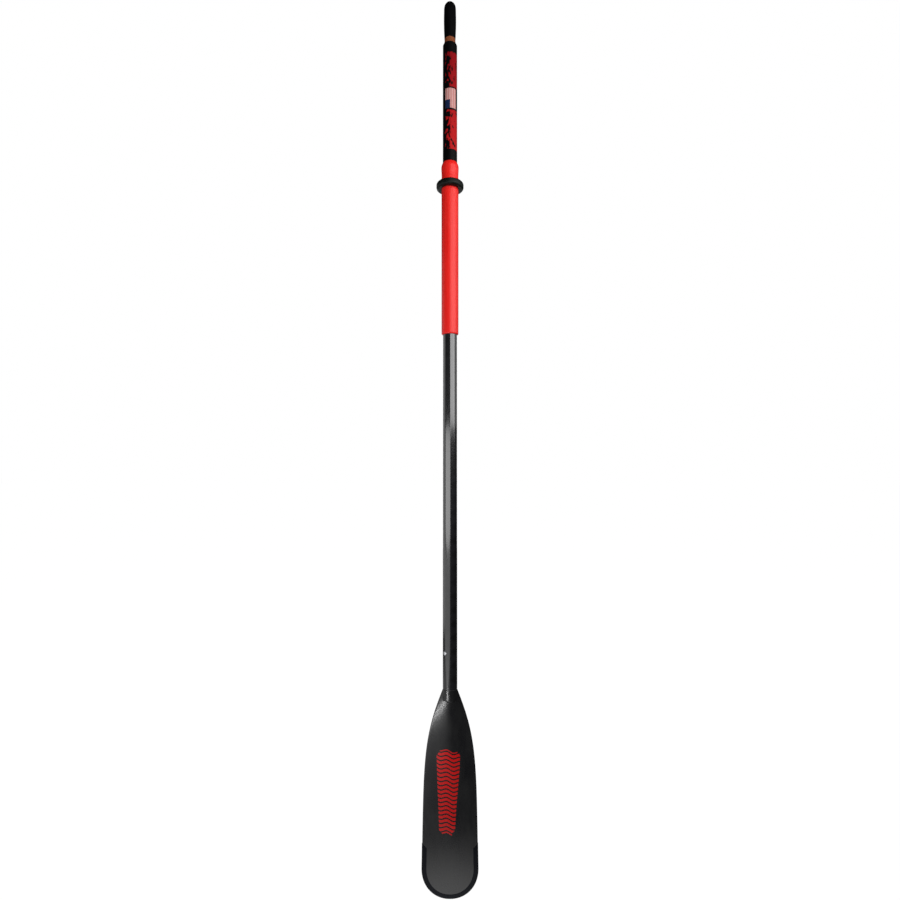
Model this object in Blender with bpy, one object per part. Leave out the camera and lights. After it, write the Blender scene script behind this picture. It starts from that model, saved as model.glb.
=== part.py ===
"""Rowing oar for a raft or a drift boat, nine feet long, with a blade that comes off.

The shaft's axis is Z, with the grip at the top and the blade hanging down. The origin is on
the axis at the stopper's lower face, the one that bears on the oarlock. The blade's two faces
look along -Y and +Y. Lengths are in metres.
"""

import math

import bmesh
import bpy
from mathutils import Matrix, Vector

# Driving dimensions. THROUGH is the length of a pin that cuts a hole right through the shaft.
OAR_LENGTH = 2.743
SEAT_TO_TIP = 2.170
GAP = 0.0003
SEGMENTS = 36
THROUGH = 0.080

# Blade, measured upwards from its tip.
BLADE_TIP = -SEAT_TO_TIP
BLADE_LENGTH = 0.6445
BLADE_TOP = BLADE_TIP + BLADE_LENGTH
BLADE_HALF_WIDTH = 0.0844
BLADE_FLARE = 0.0049
SHOULDER_LENGTH = 0.160
TIP_LENGTH = 0.095
TIP_FULLNESS = 2.1
LAST_ROW_ANGLE = 89
COLLAR_LENGTH = 0.036
COLLAR_ROUND = 0.007
SHOULDER_DROP = 0.001
ROOT_RISE = BLADE_LENGTH - COLLAR_LENGTH
ROOT_CROWN = 0.0135
TIP_CROWN = 0.0032
CROWN_POWER = 1.4
EDGE_CROWN = 0.0025
EDGE_LAND = 0.0008
EDGE_ROUND = 0.003
RIDGE_RADIUS = 0.018
SKIN = 0.0016
CORE_GAP = 0.0006
CORE_EDGE = 0.0005

# Tip guard.
GUARD_TOP = 0.170
GUARD_WIDTH = 0.014
GUARD_STEP = 0.0009
GUARD_PROUD = 0.0004

# Shaft: a tube that grows slightly towards the blade.
SHAFT_TOP = 0.441
GASKET_THICKNESS = 0.0014
SHAFT_BOTTOM = BLADE_TOP + GASKET_THICKNESS + 2 * GAP
SHAFT_TOP_RADIUS = 0.0208
SHAFT_BOTTOM_RADIUS = 0.0222
SHAFT_WALL = 0.0026

# Handle.
GRIP_TOP = OAR_LENGTH - SEAT_TO_TIP
GRIP_BOTTOM = 0.459
GRIP_RADIUS = 0.0187
GRIP_END_RADIUS = 0.0168
GRIP_MIDDLE = 0.518
GRIP_DOME = 0.019
GRIP_BORE_TOP = 0.554
GRIP_BORE_RADIUS = 0.0153
NECK_TOP_RADIUS = 0.0166
NECK_FOOT_RADIUS = 0.0190
SPIGOT_LENGTH = 0.150
HANDLE_PIN_RADIUS = 0.003
HANDLE_PIN_Z = 0.372
HANDLE_PIN_SUNK = 0.0006

# Sleeve, stopper and printed wrap.
SLEEVE_TOP = 0.080
SLEEVE_BOTTOM = -0.444
SLEEVE_RADIUS = 0.0259
SLEEVE_TAPER = 0.014
BULB_RADIUS = 0.0265
WAIST_RADIUS = 0.0255
WAIST_Z = 0.040
BODY_TOP = 0.020
SLEEVE_LIP = 0.0010
SLEEVE_ROUND = 0.004
WRAP_TOP = 0.439
WRAP_THICKNESS = 0.0005
STOPPER_RADIUS = 0.0415
STOPPER_WIDTH = 0.0195
STOPPER_ROUND = 0.0065
STOPPER_CHAMFER = 0.001
STOPPER_SPLIT = 0.0024

# Pinch screw, an M5 socket screw across the stopper's split.
SCREW_RADIUS = 0.0025
SCREW_HEAD_RADIUS = 0.00425
SCREW_HEAD_HEIGHT = 0.005
SCREW_SOCKET_RADIUS = 0.0023
SCREW_CHAMFER = 0.0005
SCREW_PAST_NUT = 0.003
SCREW_OFFSET = 0.0337
WASHER_RADIUS = 0.005
WASHER_THICKNESS = 0.001
NUT_FLATS = 0.008
NUT_HEIGHT = 0.004
POCKET_FLOOR = 0.0095
POCKET_RADIUS = 0.0053
POCKET_CUT = 0.030

# Blade joint: the ferrule and its snap buttons.
FERRULE_RADIUS = 0.0189
FERRULE_WALL = 0.002
FERRULE_TOP = BLADE_TOP + 0.160
FERRULE_DEPTH = 0.030
BUTTON_Z = -1.413
BUTTON_ANGLE = math.radians(43)
BUTTON_RADIUS = 0.0058
BUTTON_FLANGE = 0.0074
BUTTON_INNER = 0.0137
BUTTON_SHOULDER = 0.0148
BUTTON_TOP = 0.0250
BUTTON_DOME = 0.0028
BUTTON_HOLE = 0.0062
BUTTON_BAND = 0.020
SPRING_THICKNESS = 0.001
SPRING_WIDTH = 0.009
SPRING_BEND = 0.004
SPRING_DROP = 0.040
SPRING_PAD = 0.006
PLUG_THICKNESS = 0.012
PLUG_FLANGE = 0.002
BULKHEAD_Z = -1.300
BULKHEAD_LENGTH = 0.040

# Spine.
SPINE_TOP = -1.466
SPINE_HALF_WIDTH = 0.011
SPINE_TIP_HALF_WIDTH = 0.005
SPINE_HALF_THICKNESS = 0.010
SPINE_END_RISE = 0.030
SPINE_SHOULDER = 0.005
CORE_END_RISE = 0.024
NECK_SLOT_LENGTH = 0.030
FERRULE_PIN_Z = BLADE_TOP - 0.018
FERRULE_PIN_RADIUS = 0.0025

ALONG_X = Matrix.Rotation(math.radians(90), 4, "Y")
SHARP_ANGLE = math.radians(35)


def clear_scene():
    for scene_object in list(bpy.data.objects):
        bpy.data.objects.remove(scene_object, do_unlink=True)


def linear(level):
    """One channel of a screen colour, 0 to 255, as a linear value."""
    value = level / 255.0
    if value <= 0.04045:
        return value / 12.92
    return ((value + 0.055) / 1.055) ** 2.4


def material(name, colour, roughness, metallic=0.0):
    """A Principled material from a screen colour."""
    made = bpy.data.materials.get(name)
    if made is None:
        made = bpy.data.materials.new(name)
        made.use_nodes = True
        shader = made.node_tree.nodes["Principled BSDF"]
        shader.inputs["Base Color"].default_value = [*map(linear, colour), 1.0]
        shader.inputs["Roughness"].default_value = roughness
        shader.inputs["Metallic"].default_value = metallic
    return made


def black_rubber():
    return material("black_rubber", (24, 25, 25), 0.65)


def varnished_wood():
    return material("varnished_wood", (138, 72, 38), 0.30)


def shaft_composite():
    return material("shaft_composite", (34, 35, 36), 0.22)


def printed_film():
    return material("printed_film", (14, 14, 15), 0.35)


def red_plastic():
    return material("red_plastic", (222, 38, 32), 0.38)


def blade_composite():
    return material("blade_composite", (56, 57, 60), 0.42)


def guard_resin():
    return material("guard_resin", (16, 17, 24), 0.50)


def foam():
    return material("foam", (206, 190, 142), 0.90)


def steel():
    return material("steel", (196, 198, 202), 0.25, 1.0)


def make_object(name, mesh_data, surface):
    """Turn a bmesh into a named object with one material."""
    mesh = bpy.data.meshes.new(name)
    bmesh.ops.recalc_face_normals(mesh_data, faces=mesh_data.faces)
    mesh_data.to_mesh(mesh)
    mesh_data.free()
    mesh.materials.append(surface)
    mesh.shade_smooth()
    mesh.set_sharp_from_angle(angle=SHARP_ANGLE)
    made = bpy.data.objects.new(name, mesh)
    bpy.context.scene.collection.objects.link(made)
    return made


def lathe(name, outline, surface, segments=SEGMENTS):
    """Turn an outline of (radius, height) points about Z. It closes itself off the axis."""
    mesh_data = bmesh.new()
    points = [mesh_data.verts.new((radius, 0.0, height)) for radius, height in outline]
    edges = []
    for before, point in zip([points[-1]] + points, points):
        if before.co.x > 0.0 or point.co.x > 0.0:
            edges.append(mesh_data.edges.new((before, point)))
    bmesh.ops.spin(
        mesh_data, geom=points + edges, cent=(0, 0, 0), axis=(0, 0, 1),
        angle=math.tau, steps=segments, use_merge=True,
    )
    bmesh.ops.remove_doubles(mesh_data, verts=mesh_data.verts, dist=1e-6)
    return make_object(name, mesh_data, surface)


def rod(name, radius, length, surface, segments=24):
    """A plain round pin along Z, centred on its origin."""
    mesh_data = bmesh.new()
    bmesh.ops.create_cone(
        mesh_data, cap_ends=True, segments=segments, radius1=radius, radius2=radius, depth=length
    )
    return make_object(name, mesh_data, surface)


def box(name, size, surface):
    """A plain block, centred on its origin."""
    mesh_data = bmesh.new()
    bmesh.ops.create_cube(mesh_data, size=1.0)
    bmesh.ops.scale(mesh_data, vec=size, verts=mesh_data.verts)
    return make_object(name, mesh_data, surface)


def arc(centre_radius, centre_height, radius, start, end, steps=4):
    """Points of a round corner in an outline, between two angles in degrees."""
    points = []
    for step in range(steps + 1):
        angle = math.radians(start + (end - start) * step / steps)
        points.append(
            (centre_radius + radius * math.cos(angle), centre_height + radius * math.sin(angle))
        )
    return points


def combine(target, other, operation):
    """Join a helper shape to an object or cut it away, with a Boolean."""
    other.display_type = "WIRE"
    other.hide_render = True
    modifier = target.modifiers.new(other.name, "BOOLEAN")
    modifier.operation = operation
    modifier.object = other


def cut(target, cutter):
    combine(target, cutter, "DIFFERENCE")


def slab(name, rises, x_range, y_range, columns, surface):
    """A solid between two surfaces y(x, rise), over rows of x at heights above the blade's tip."""
    mesh_data = bmesh.new()
    rows = []
    for rise in rises:
        left, right = x_range(rise)
        row = []
        for column in range(columns + 1):
            x = left + (right - left) * 0.5 * (1.0 - math.cos(math.pi * column / columns))
            front, back = y_range(x, rise)
            z = BLADE_TIP + rise
            row.append((mesh_data.verts.new((x, front, z)), mesh_data.verts.new((x, back, z))))
        rows.append(row)
    for upper, lower in zip(rows, rows[1:]):
        for side in (0, 1):
            for column in range(columns):
                corners = (upper[column], upper[column + 1], lower[column + 1], lower[column])
                mesh_data.faces.new([corner[side] for corner in corners])
        for end in (0, columns):
            mesh_data.faces.new((upper[end][0], upper[end][1], lower[end][1], lower[end][0]))
    for row in (rows[0], rows[-1]):
        for column in range(columns):
            near, far = row[column], row[column + 1]
            mesh_data.faces.new((near[0], near[1], far[1], far[0]))
    return make_object(name, mesh_data, surface)


# ---------------------------------------------------------------- shaft and handle


def shaft_radius(z):
    """Outer radius of the shaft tube at a height."""
    share = (SHAFT_TOP - z) / (SHAFT_TOP - SHAFT_BOTTOM)
    return SHAFT_TOP_RADIUS + (SHAFT_BOTTOM_RADIUS - SHAFT_TOP_RADIUS) * share


def shaft_bore(z):
    return shaft_radius(z) - SHAFT_WALL


def button_direction(side):
    """Unit vector from the axis out through a snap button: side is -1 for left, 1 for right."""
    return Vector((side * math.sin(BUTTON_ANGLE), side * math.cos(BUTTON_ANGLE), 0.0))


def button_cutter(name):
    """One long pin through both button holes."""
    cutter = rod(name, BUTTON_HOLE, THROUGH, steel())
    cutter.location = (0, 0, BUTTON_Z)
    cutter.rotation_euler = button_direction(1).to_track_quat("Z", "Y").to_euler()
    return cutter


def make_shaft_tube():
    heights = [SHAFT_TOP, BUTTON_Z + BUTTON_BAND, BUTTON_Z - BUTTON_BAND, SHAFT_BOTTOM]
    outer = [(shaft_radius(z), z) for z in heights]
    inner = [(shaft_bore(z), z) for z in reversed(heights)]
    tube = lathe("shaft_tube", outer + inner, shaft_composite())
    cut(tube, button_cutter("shaft_button_holes"))
    cut(tube, handle_pin_cutter("shaft_pin_hole"))


def make_grip():
    """Barrel-shaped rubber grip with a domed end, open below for the wooden handle."""
    dome_foot = GRIP_TOP - GRIP_DOME
    half = GRIP_MIDDLE - GRIP_BOTTOM

    def barrel(z):
        return GRIP_RADIUS - (GRIP_RADIUS - GRIP_END_RADIUS) * ((z - GRIP_MIDDLE) / half) ** 2

    outline = []
    for angle in (90, 72, 54, 36, 18):
        bow = math.radians(angle)
        outline.append((barrel(dome_foot) * math.cos(bow), dome_foot + GRIP_DOME * math.sin(bow)))
    outline[0] = (0.0, GRIP_TOP)
    for step in range(7):
        z = dome_foot + (GRIP_BOTTOM - dome_foot) * step / 6
        outline.append((barrel(z), z))
    outline += [(GRIP_BORE_RADIUS, GRIP_BOTTOM), (GRIP_BORE_RADIUS, GRIP_BORE_TOP)]
    outline += [(0.0, GRIP_BORE_TOP)]
    lathe("grip", outline, black_rubber())


def make_handle_core():
    """Turned wooden handle: a spigot in the grip, a bare flared neck and a spigot in the shaft."""
    neck_top = GRIP_BOTTOM - GAP
    neck_foot = SHAFT_TOP + GAP
    spigot_bottom = SHAFT_TOP - SPIGOT_LENGTH
    grip_spigot = GRIP_BORE_RADIUS - GAP
    top = GRIP_BORE_TOP - GAP
    outline = [(0.0, top), (grip_spigot, top), (grip_spigot, neck_top)]
    for step in range(6):
        share = step / 5
        radius = NECK_TOP_RADIUS + (NECK_FOOT_RADIUS - NECK_TOP_RADIUS) * share ** 2
        outline.append((radius, neck_top + (neck_foot - neck_top) * share))
    outline += [
        (shaft_bore(SHAFT_TOP) - GAP, neck_foot),
        (shaft_bore(SHAFT_TOP) - GAP, spigot_bottom),
        (0.0, spigot_bottom),
    ]
    core = lathe("handle_core", outline, varnished_wood())
    cut(core, handle_pin_cutter("core_pin_hole"))


def handle_pin_cutter(name):
    cutter = rod(name, HANDLE_PIN_RADIUS + GAP, THROUGH, steel())
    cutter.location = (0, 0, HANDLE_PIN_Z)
    cutter.rotation_euler = ALONG_X.to_euler()
    return cutter


def make_handle_pin():
    """Cross pin through shaft and handle, just short of the tube's outer surface."""
    length = 2 * (shaft_radius(HANDLE_PIN_Z) - HANDLE_PIN_SUNK)
    pin = rod("handle_pin", HANDLE_PIN_RADIUS, length, steel())
    pin.location = (0, 0, HANDLE_PIN_Z)
    pin.rotation_euler = ALONG_X.to_euler()


def make_graphic_wrap():
    """Printed film round the upper shaft, from the wooden neck to the sleeve."""
    wrap_bottom = SLEEVE_TOP + GAP
    inner_top = shaft_radius(WRAP_TOP) + GAP
    inner_bottom = shaft_radius(wrap_bottom) + GAP
    outline = [
        (inner_top + WRAP_THICKNESS, WRAP_TOP),
        (inner_bottom + WRAP_THICKNESS, wrap_bottom),
        (inner_bottom, wrap_bottom),
        (inner_top, WRAP_TOP),
    ]
    lathe("graphic_wrap", outline, printed_film())


def make_bulkhead_plug():
    """Foam plug that keeps water out of the shaft, above the ferrule."""
    bottom = BULKHEAD_Z - BULKHEAD_LENGTH
    radius = shaft_bore(BULKHEAD_Z) - GAP
    outline = [(0.0, BULKHEAD_Z), (radius, BULKHEAD_Z), (radius, bottom), (0.0, bottom)]
    lathe("bulkhead_plug", outline, foam())


# ---------------------------------------------------------------- sleeve and stopper


def ease(start, end, steps):
    """Points after the start of a soft step in an outline, level at both its ends."""
    points = []
    for step in range(1, steps + 1):
        share = step / steps
        bow = (1.0 - math.cos(math.pi * share)) / 2
        radius = start[0] + (end[0] - start[0]) * bow
        points.append((radius, start[1] + (end[1] - start[1]) * share))
    return points


def make_oar_sleeve():
    """Wear sleeve: a bullet-shaped top swells to a low bulb, then a waist and a long round body."""
    inner_top = shaft_radius(SLEEVE_TOP) + GAP
    inner_bottom = shaft_radius(SLEEVE_BOTTOM) + GAP
    lip = inner_top + SLEEVE_LIP
    outline = []
    for step in range(6):
        share = step / 5
        radius = lip + (BULB_RADIUS - lip) * math.sin(share * math.pi / 2)
        outline.append((radius, SLEEVE_TOP - SLEEVE_TAPER * share))
    bulb = outline[-1]
    waist = (WAIST_RADIUS, WAIST_Z)
    outline += ease(bulb, waist, 5)
    outline += ease(waist, (SLEEVE_RADIUS, BODY_TOP), 3)
    outline += arc(SLEEVE_RADIUS - SLEEVE_ROUND, SLEEVE_BOTTOM + SLEEVE_ROUND, SLEEVE_ROUND, 0, -75)
    outline += [(inner_bottom, SLEEVE_BOTTOM), (inner_top, SLEEVE_TOP)]
    lathe("oar_sleeve", outline, red_plastic())


def along_split(piece, x):
    """Lay a piece that was turned about Z along the pinch screw, at a place on its axis."""
    piece.rotation_euler = ALONG_X.to_euler()
    piece.location = (x, SCREW_OFFSET, STOPPER_WIDTH / 2)


def make_stopper_ring():
    """Split rubber ring with rounded outer corners and two pockets for the pinch screw."""
    bore = SLEEVE_RADIUS + GAP
    centre = STOPPER_RADIUS - STOPPER_ROUND
    outline = [(bore, STOPPER_CHAMFER), (bore, STOPPER_WIDTH - STOPPER_CHAMFER)]
    outline += [(bore + STOPPER_CHAMFER, STOPPER_WIDTH)]
    outline += arc(centre, STOPPER_WIDTH - STOPPER_ROUND, STOPPER_ROUND, 90, 0)
    outline += arc(centre, STOPPER_ROUND, STOPPER_ROUND, 0, -90)
    outline += [(bore + STOPPER_CHAMFER, 0.0)]
    ring = lathe("stopper_ring", outline, black_rubber())
    split_size = (STOPPER_SPLIT, 2 * (STOPPER_RADIUS - bore), 2 * STOPPER_WIDTH)
    split = box("stopper_split", split_size, steel())
    split.location = (0, (STOPPER_RADIUS + bore) / 2, STOPPER_WIDTH / 2)
    cut(ring, split)
    hole = rod("stopper_hole", SCREW_RADIUS + GAP, 2 * POCKET_FLOOR + POCKET_CUT, steel())
    along_split(hole, 0.0)
    cut(ring, hole)
    for side, name in ((-1, "head_pocket"), (1, "nut_pocket")):
        pocket = rod(name, POCKET_RADIUS, POCKET_CUT, steel())
        along_split(pocket, side * (POCKET_FLOOR + POCKET_CUT / 2))
        cut(ring, pocket)


def make_stopper_screw():
    """Socket screw: its head is at -X and its shank runs through the split to the nut."""
    head_face = -(POCKET_FLOOR + WASHER_THICKNESS + 2 * GAP)
    top = head_face - SCREW_HEAD_HEIGHT
    end = POCKET_FLOOR + WASHER_THICKNESS + NUT_HEIGHT + SCREW_PAST_NUT
    outline = [
        (0.0, end),
        (SCREW_RADIUS, end),
        (SCREW_RADIUS, head_face),
        (SCREW_HEAD_RADIUS, head_face),
        (SCREW_HEAD_RADIUS, top + SCREW_CHAMFER),
        (SCREW_HEAD_RADIUS - SCREW_CHAMFER, top),
        (0.0, top),
    ]
    screw = lathe("stopper_screw", outline, steel(), 24)
    along_split(screw, 0.0)
    socket = rod("screw_socket", SCREW_SOCKET_RADIUS, SCREW_HEAD_HEIGHT, steel(), 6)
    along_split(socket, top)
    cut(screw, socket)


def make_stopper_washer(name, side):
    """Flat washer on a pocket's floor."""
    half = WASHER_THICKNESS / 2
    hole = SCREW_RADIUS + GAP
    outline = [(WASHER_RADIUS, half), (WASHER_RADIUS, -half), (hole, -half), (hole, half)]
    washer = lathe(name, outline, steel(), 24)
    along_split(washer, side * (POCKET_FLOOR + GAP + half))


def make_stopper_nut():
    """Hexagon nut, with the chamfer of a turned nut left out."""
    nut = rod("stopper_nut", NUT_FLATS / math.sqrt(3), NUT_HEIGHT, steel(), 6)
    place = POCKET_FLOOR + WASHER_THICKNESS + 2 * GAP + NUT_HEIGHT / 2
    along_split(nut, place)
    hole = rod("nut_hole", SCREW_RADIUS + GAP, 2 * NUT_HEIGHT, steel())
    along_split(hole, place)
    cut(nut, hole)


# ---------------------------------------------------------------- blade joint


def ferrule_pin_cutter(name):
    cutter = rod(name, FERRULE_PIN_RADIUS + GAP, THROUGH, steel())
    cutter.location = (0, 0, FERRULE_PIN_Z)
    cutter.rotation_euler = ALONG_X.to_euler()
    return cutter


def make_blade_ferrule():
    """Tube that stands out of the blade's neck into the shaft."""
    bottom = BLADE_TOP - FERRULE_DEPTH
    bore = FERRULE_RADIUS - FERRULE_WALL
    heights = [FERRULE_TOP, BUTTON_Z + BUTTON_BAND, BUTTON_Z - BUTTON_BAND, bottom]
    outline = [(FERRULE_RADIUS, z) for z in heights] + [(bore, z) for z in reversed(heights)]
    tube = lathe("blade_ferrule", outline, shaft_composite())
    cut(tube, button_cutter("ferrule_button_holes"))
    cut(tube, ferrule_pin_cutter("ferrule_pin_holes"))


def make_ferrule_plug():
    """Flanged plug in the ferrule's open end."""
    flange_bottom = FERRULE_TOP + GAP
    bottom = flange_bottom - PLUG_THICKNESS
    stem = FERRULE_RADIUS - FERRULE_WALL - GAP
    outline = [
        (0.0, flange_bottom + PLUG_FLANGE),
        (FERRULE_RADIUS - GAP, flange_bottom + PLUG_FLANGE),
        (FERRULE_RADIUS - GAP, flange_bottom),
        (stem, flange_bottom),
        (stem, bottom),
        (0.0, bottom),
    ]
    lathe("ferrule_plug", outline, black_rubber())


def make_ferrule_pin():
    """Cross pin that ties the ferrule to the spine, inside the neck."""
    pin = rod("ferrule_pin", FERRULE_PIN_RADIUS, 2 * (FERRULE_RADIUS - GAP), steel())
    pin.location = (0, 0, FERRULE_PIN_Z)
    pin.rotation_euler = ALONG_X.to_euler()


def make_snap_button(name, side):
    """Domed steel button with an inner flange, turned about its own line of travel."""
    foot = BUTTON_TOP - BUTTON_DOME
    outline = [(0.0, BUTTON_INNER), (BUTTON_FLANGE, BUTTON_INNER), (BUTTON_FLANGE, BUTTON_SHOULDER)]
    outline += [(BUTTON_RADIUS, BUTTON_SHOULDER)]
    for angle in (0, 22.5, 45, 67.5):
        bow = math.radians(angle)
        outline.append((BUTTON_RADIUS * math.cos(bow), foot + BUTTON_DOME * math.sin(bow)))
    outline.append((0.0, BUTTON_TOP))
    button = lathe(name, outline, steel(), 24)
    button.location = (0, 0, BUTTON_Z)
    button.rotation_euler = button_direction(side).to_track_quat("Z", "Y").to_euler()


def make_button_spring():
    """Leaf bent into a V, whose arms press both buttons outwards."""
    arm = BUTTON_INNER - GAP - SPRING_THICKNESS / 2
    centre_line = [(-arm, SPRING_PAD), (-arm, -SPRING_PAD)]
    for step in range(9):
        angle = math.pi * (1.0 + step / 8)
        bend = (SPRING_BEND * math.cos(angle), SPRING_BEND * math.sin(angle) - SPRING_DROP)
        centre_line.append(bend)
    centre_line += [(arm, -SPRING_PAD), (arm, SPRING_PAD)]
    spring = ribbon("button_spring", centre_line, SPRING_THICKNESS, SPRING_WIDTH, steel())
    direction = button_direction(1)
    spring.rotation_euler = (0, 0, math.atan2(direction.y, direction.x))
    spring.location = (0, 0, BUTTON_Z)


def ribbon(name, centre_line, thickness, width, surface):
    """A flat strip on edge: a line in XZ given a thickness, then a width along Y."""
    line = [Vector((x, 0.0, z)) for x, z in centre_line]
    mesh_data = bmesh.new()
    sections = []
    for index, point in enumerate(line):
        before = line[max(index - 1, 0)]
        after = line[min(index + 1, len(line) - 1)]
        run = (after - before).normalized()
        across = Vector((run.z, 0.0, -run.x)) * thickness / 2
        along = Vector((0.0, width / 2, 0.0))
        corners = (point - across - along, point + across - along)
        corners += (point + across + along, point - across + along)
        sections.append([mesh_data.verts.new(corner) for corner in corners])
    for near, far in zip(sections, sections[1:]):
        for side in range(4):
            following = (side + 1) % 4
            mesh_data.faces.new((near[side], near[following], far[following], far[side]))
    mesh_data.faces.new(sections[0])
    mesh_data.faces.new(sections[-1])
    return make_object(name, mesh_data, surface)


def make_joint_gasket():
    """Thin rubber ring between the shaft's end and the blade's neck."""
    bottom = BLADE_TOP + GAP
    top = bottom + GASKET_THICKNESS
    inner = FERRULE_RADIUS + GAP
    outer = SHAFT_BOTTOM_RADIUS - GAP
    outline = [(outer, top), (outer, bottom), (inner, bottom), (inner, top)]
    lathe("joint_gasket", outline, black_rubber())


# ---------------------------------------------------------------- blade


def half_width(rise, inset):
    """Half the blade's width at a height above its tip, with the outline drawn in by inset."""
    below_top = BLADE_LENGTH - rise
    full = BLADE_HALF_WIDTH + BLADE_FLARE * (below_top / BLADE_LENGTH) ** 3
    shoulder = math.tanh(below_top / SHOULDER_LENGTH)
    side = SHAFT_BOTTOM_RADIUS + (full - SHAFT_BOTTOM_RADIUS) * shoulder - inset
    down = min(1.0, max(0.0, (TIP_LENGTH - rise) / (TIP_LENGTH - inset)))
    return side * (1.0 - down ** TIP_FULLNESS) ** (1.0 / TIP_FULLNESS)


def guard_depth(rise, clearance):
    """How far the tip guard reaches in from the edge, growing at 45 degrees from its top end."""
    grown = GUARD_TOP - rise + math.sqrt(2) * clearance
    return min(GUARD_WIDTH + clearance, max(0.0, grown))


def skin_inset(rise):
    return GUARD_STEP + guard_depth(rise, GAP)


def skin_half_width(rise):
    return half_width(rise, skin_inset(rise))


def crown_thickness(x, rise):
    """Half the blade's thickness without its rounded edge: a round-topped ridge down the middle."""
    crown = TIP_CROWN + (ROOT_CROWN - TIP_CROWN) * (max(rise, 0.0) / ROOT_RISE) ** CROWN_POWER
    reach = half_width(max(rise, TIP_LENGTH), GUARD_STEP)
    fall = math.hypot(x, RIDGE_RADIUS) - RIDGE_RADIUS
    full_fall = math.hypot(reach, RIDGE_RADIUS) - RIDGE_RADIUS
    return EDGE_CROWN + (crown - EDGE_CROWN) * (1.0 - fall / full_fall)


def half_thickness(x, rise):
    """Half the blade's thickness, rounded off towards its edge."""
    full = crown_thickness(x, rise)
    into_round = EDGE_ROUND - (half_width(rise, GUARD_STEP) - abs(x))
    share = min(1.0, max(0.0, into_round / EDGE_ROUND))
    return EDGE_LAND + (full - EDGE_LAND) * math.sqrt(1.0 - share ** 2)


def blade_rows(top, inset):
    """Heights of a blade piece's rows: even down to the tip's curve, then by angle round it."""
    guard_marks = [GUARD_TOP + math.sqrt(2) * GAP, GUARD_TOP - GUARD_WIDTH]
    rows = [top + (TIP_LENGTH - top) * step / 14 for step in range(15)]
    rows = sorted(rows + guard_marks, reverse=True)
    for step in range(1, 9):
        angle = math.radians(LAST_ROW_ANGLE * step / 8)
        rows.append(TIP_LENGTH - (TIP_LENGTH - inset) * math.sin(angle))
    return rows


def make_skin(name, side):
    """One composite skin: it is hollowed for the core, and meets the other at the edge."""

    def faces(x, rise):
        outer = half_thickness(x, rise)
        inner = max(GAP / 2, outer - SKIN)
        return side * outer, side * inner

    def span(rise):
        return -skin_half_width(rise), skin_half_width(rise)

    rows = blade_rows(ROOT_RISE - GAP, GUARD_STEP + GUARD_WIDTH + GAP)
    slab(name, rows, span, faces, 16, blade_composite())


def core_thickness(x, rise):
    return half_thickness(x, rise) - SKIN - CORE_GAP


def core_reach(rise):
    """Where the core thins out to its edge, found by halving, or where the guard begins."""
    near, far = 0.0, skin_half_width(rise)
    if core_thickness(far, rise) > CORE_EDGE:
        return far
    for _ in range(30):
        middle = (near + far) / 2
        if core_thickness(middle, rise) > CORE_EDGE:
            near = middle
        else:
            far = middle
    return near


def spine_half_width(rise):
    """The spine is full width down to the neck's end and narrows from there to its lower end."""
    share = min(1.0, max(0.0, (ROOT_RISE - rise) / (ROOT_RISE - SPINE_END_RISE)))
    return SPINE_HALF_WIDTH + (SPINE_TIP_HALF_WIDTH - SPINE_HALF_WIDTH) * share


def make_blade_core(name, side):
    """Foam half beside the spine."""

    def span(rise):
        inner = side * (spine_half_width(rise) + GAP)
        outer = side * core_reach(rise)
        return min(inner, outer), max(inner, outer)

    def faces(x, rise):
        thickness = core_thickness(x, rise)
        return -thickness, thickness

    rows = blade_rows(ROOT_RISE - 2 * GAP, GUARD_STEP + GUARD_WIDTH + GAP)
    foam_rows = [rise for rise in rows if rise > CORE_END_RISE]
    slab(name, foam_rows, span, faces, 8, foam())


def make_blade_spine():
    """Stiff spar from inside the ferrule down the middle of the blade."""

    def span(rise):
        return -spine_half_width(rise), spine_half_width(rise)

    def faces(x, rise):
        thickness = min(SPINE_HALF_THICKNESS, core_thickness(x, min(rise, ROOT_RISE)))
        return -thickness, thickness

    steps = 12
    step_height = (ROOT_RISE - SPINE_END_RISE) / steps
    rows = [SPINE_TOP - BLADE_TIP, ROOT_RISE + SPINE_SHOULDER]
    rows += [ROOT_RISE - step_height * step for step in range(1, steps + 1)]
    spine = slab("blade_spine", rows, span, faces, 4, blade_composite())
    cut(spine, ferrule_pin_cutter("spine_pin_hole"))


def make_blade_neck():
    """Round collar that carries the ferrule, with the start of the blade's shoulders."""
    bottom = BLADE_TIP + ROOT_RISE
    outline = [(0.0, BLADE_TOP), (SHAFT_BOTTOM_RADIUS, BLADE_TOP)]
    outline += arc(SHAFT_BOTTOM_RADIUS - COLLAR_ROUND, bottom + COLLAR_ROUND, COLLAR_ROUND, 0, -90)
    outline += [(0.0, bottom)]
    neck = lathe("blade_neck", outline, blade_composite())

    def span(rise):
        return -half_width(rise, GUARD_STEP), half_width(rise, GUARD_STEP)

    def faces(x, rise):
        return -half_thickness(x, rise), half_thickness(x, rise)

    steps = 6
    shoulder_top = BLADE_LENGTH - SHOULDER_DROP
    rows = [shoulder_top + (ROOT_RISE - shoulder_top) * step / steps for step in range(steps + 1)]
    combine(neck, slab("neck_shoulders", rows, span, faces, 16, blade_composite()), "UNION")
    bore = rod("neck_bore", FERRULE_RADIUS + GAP, 2 * (FERRULE_DEPTH + GAP), steel(), SEGMENTS)
    bore.location = (0, 0, BLADE_TOP)
    cut(neck, bore)
    slot_size = (2 * (SPINE_HALF_WIDTH + GAP), 2 * (SPINE_HALF_THICKNESS + GAP), NECK_SLOT_LENGTH)
    slot = box("neck_slot", slot_size, steel())
    slot.location = (0, 0, bottom)
    cut(neck, slot)


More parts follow.
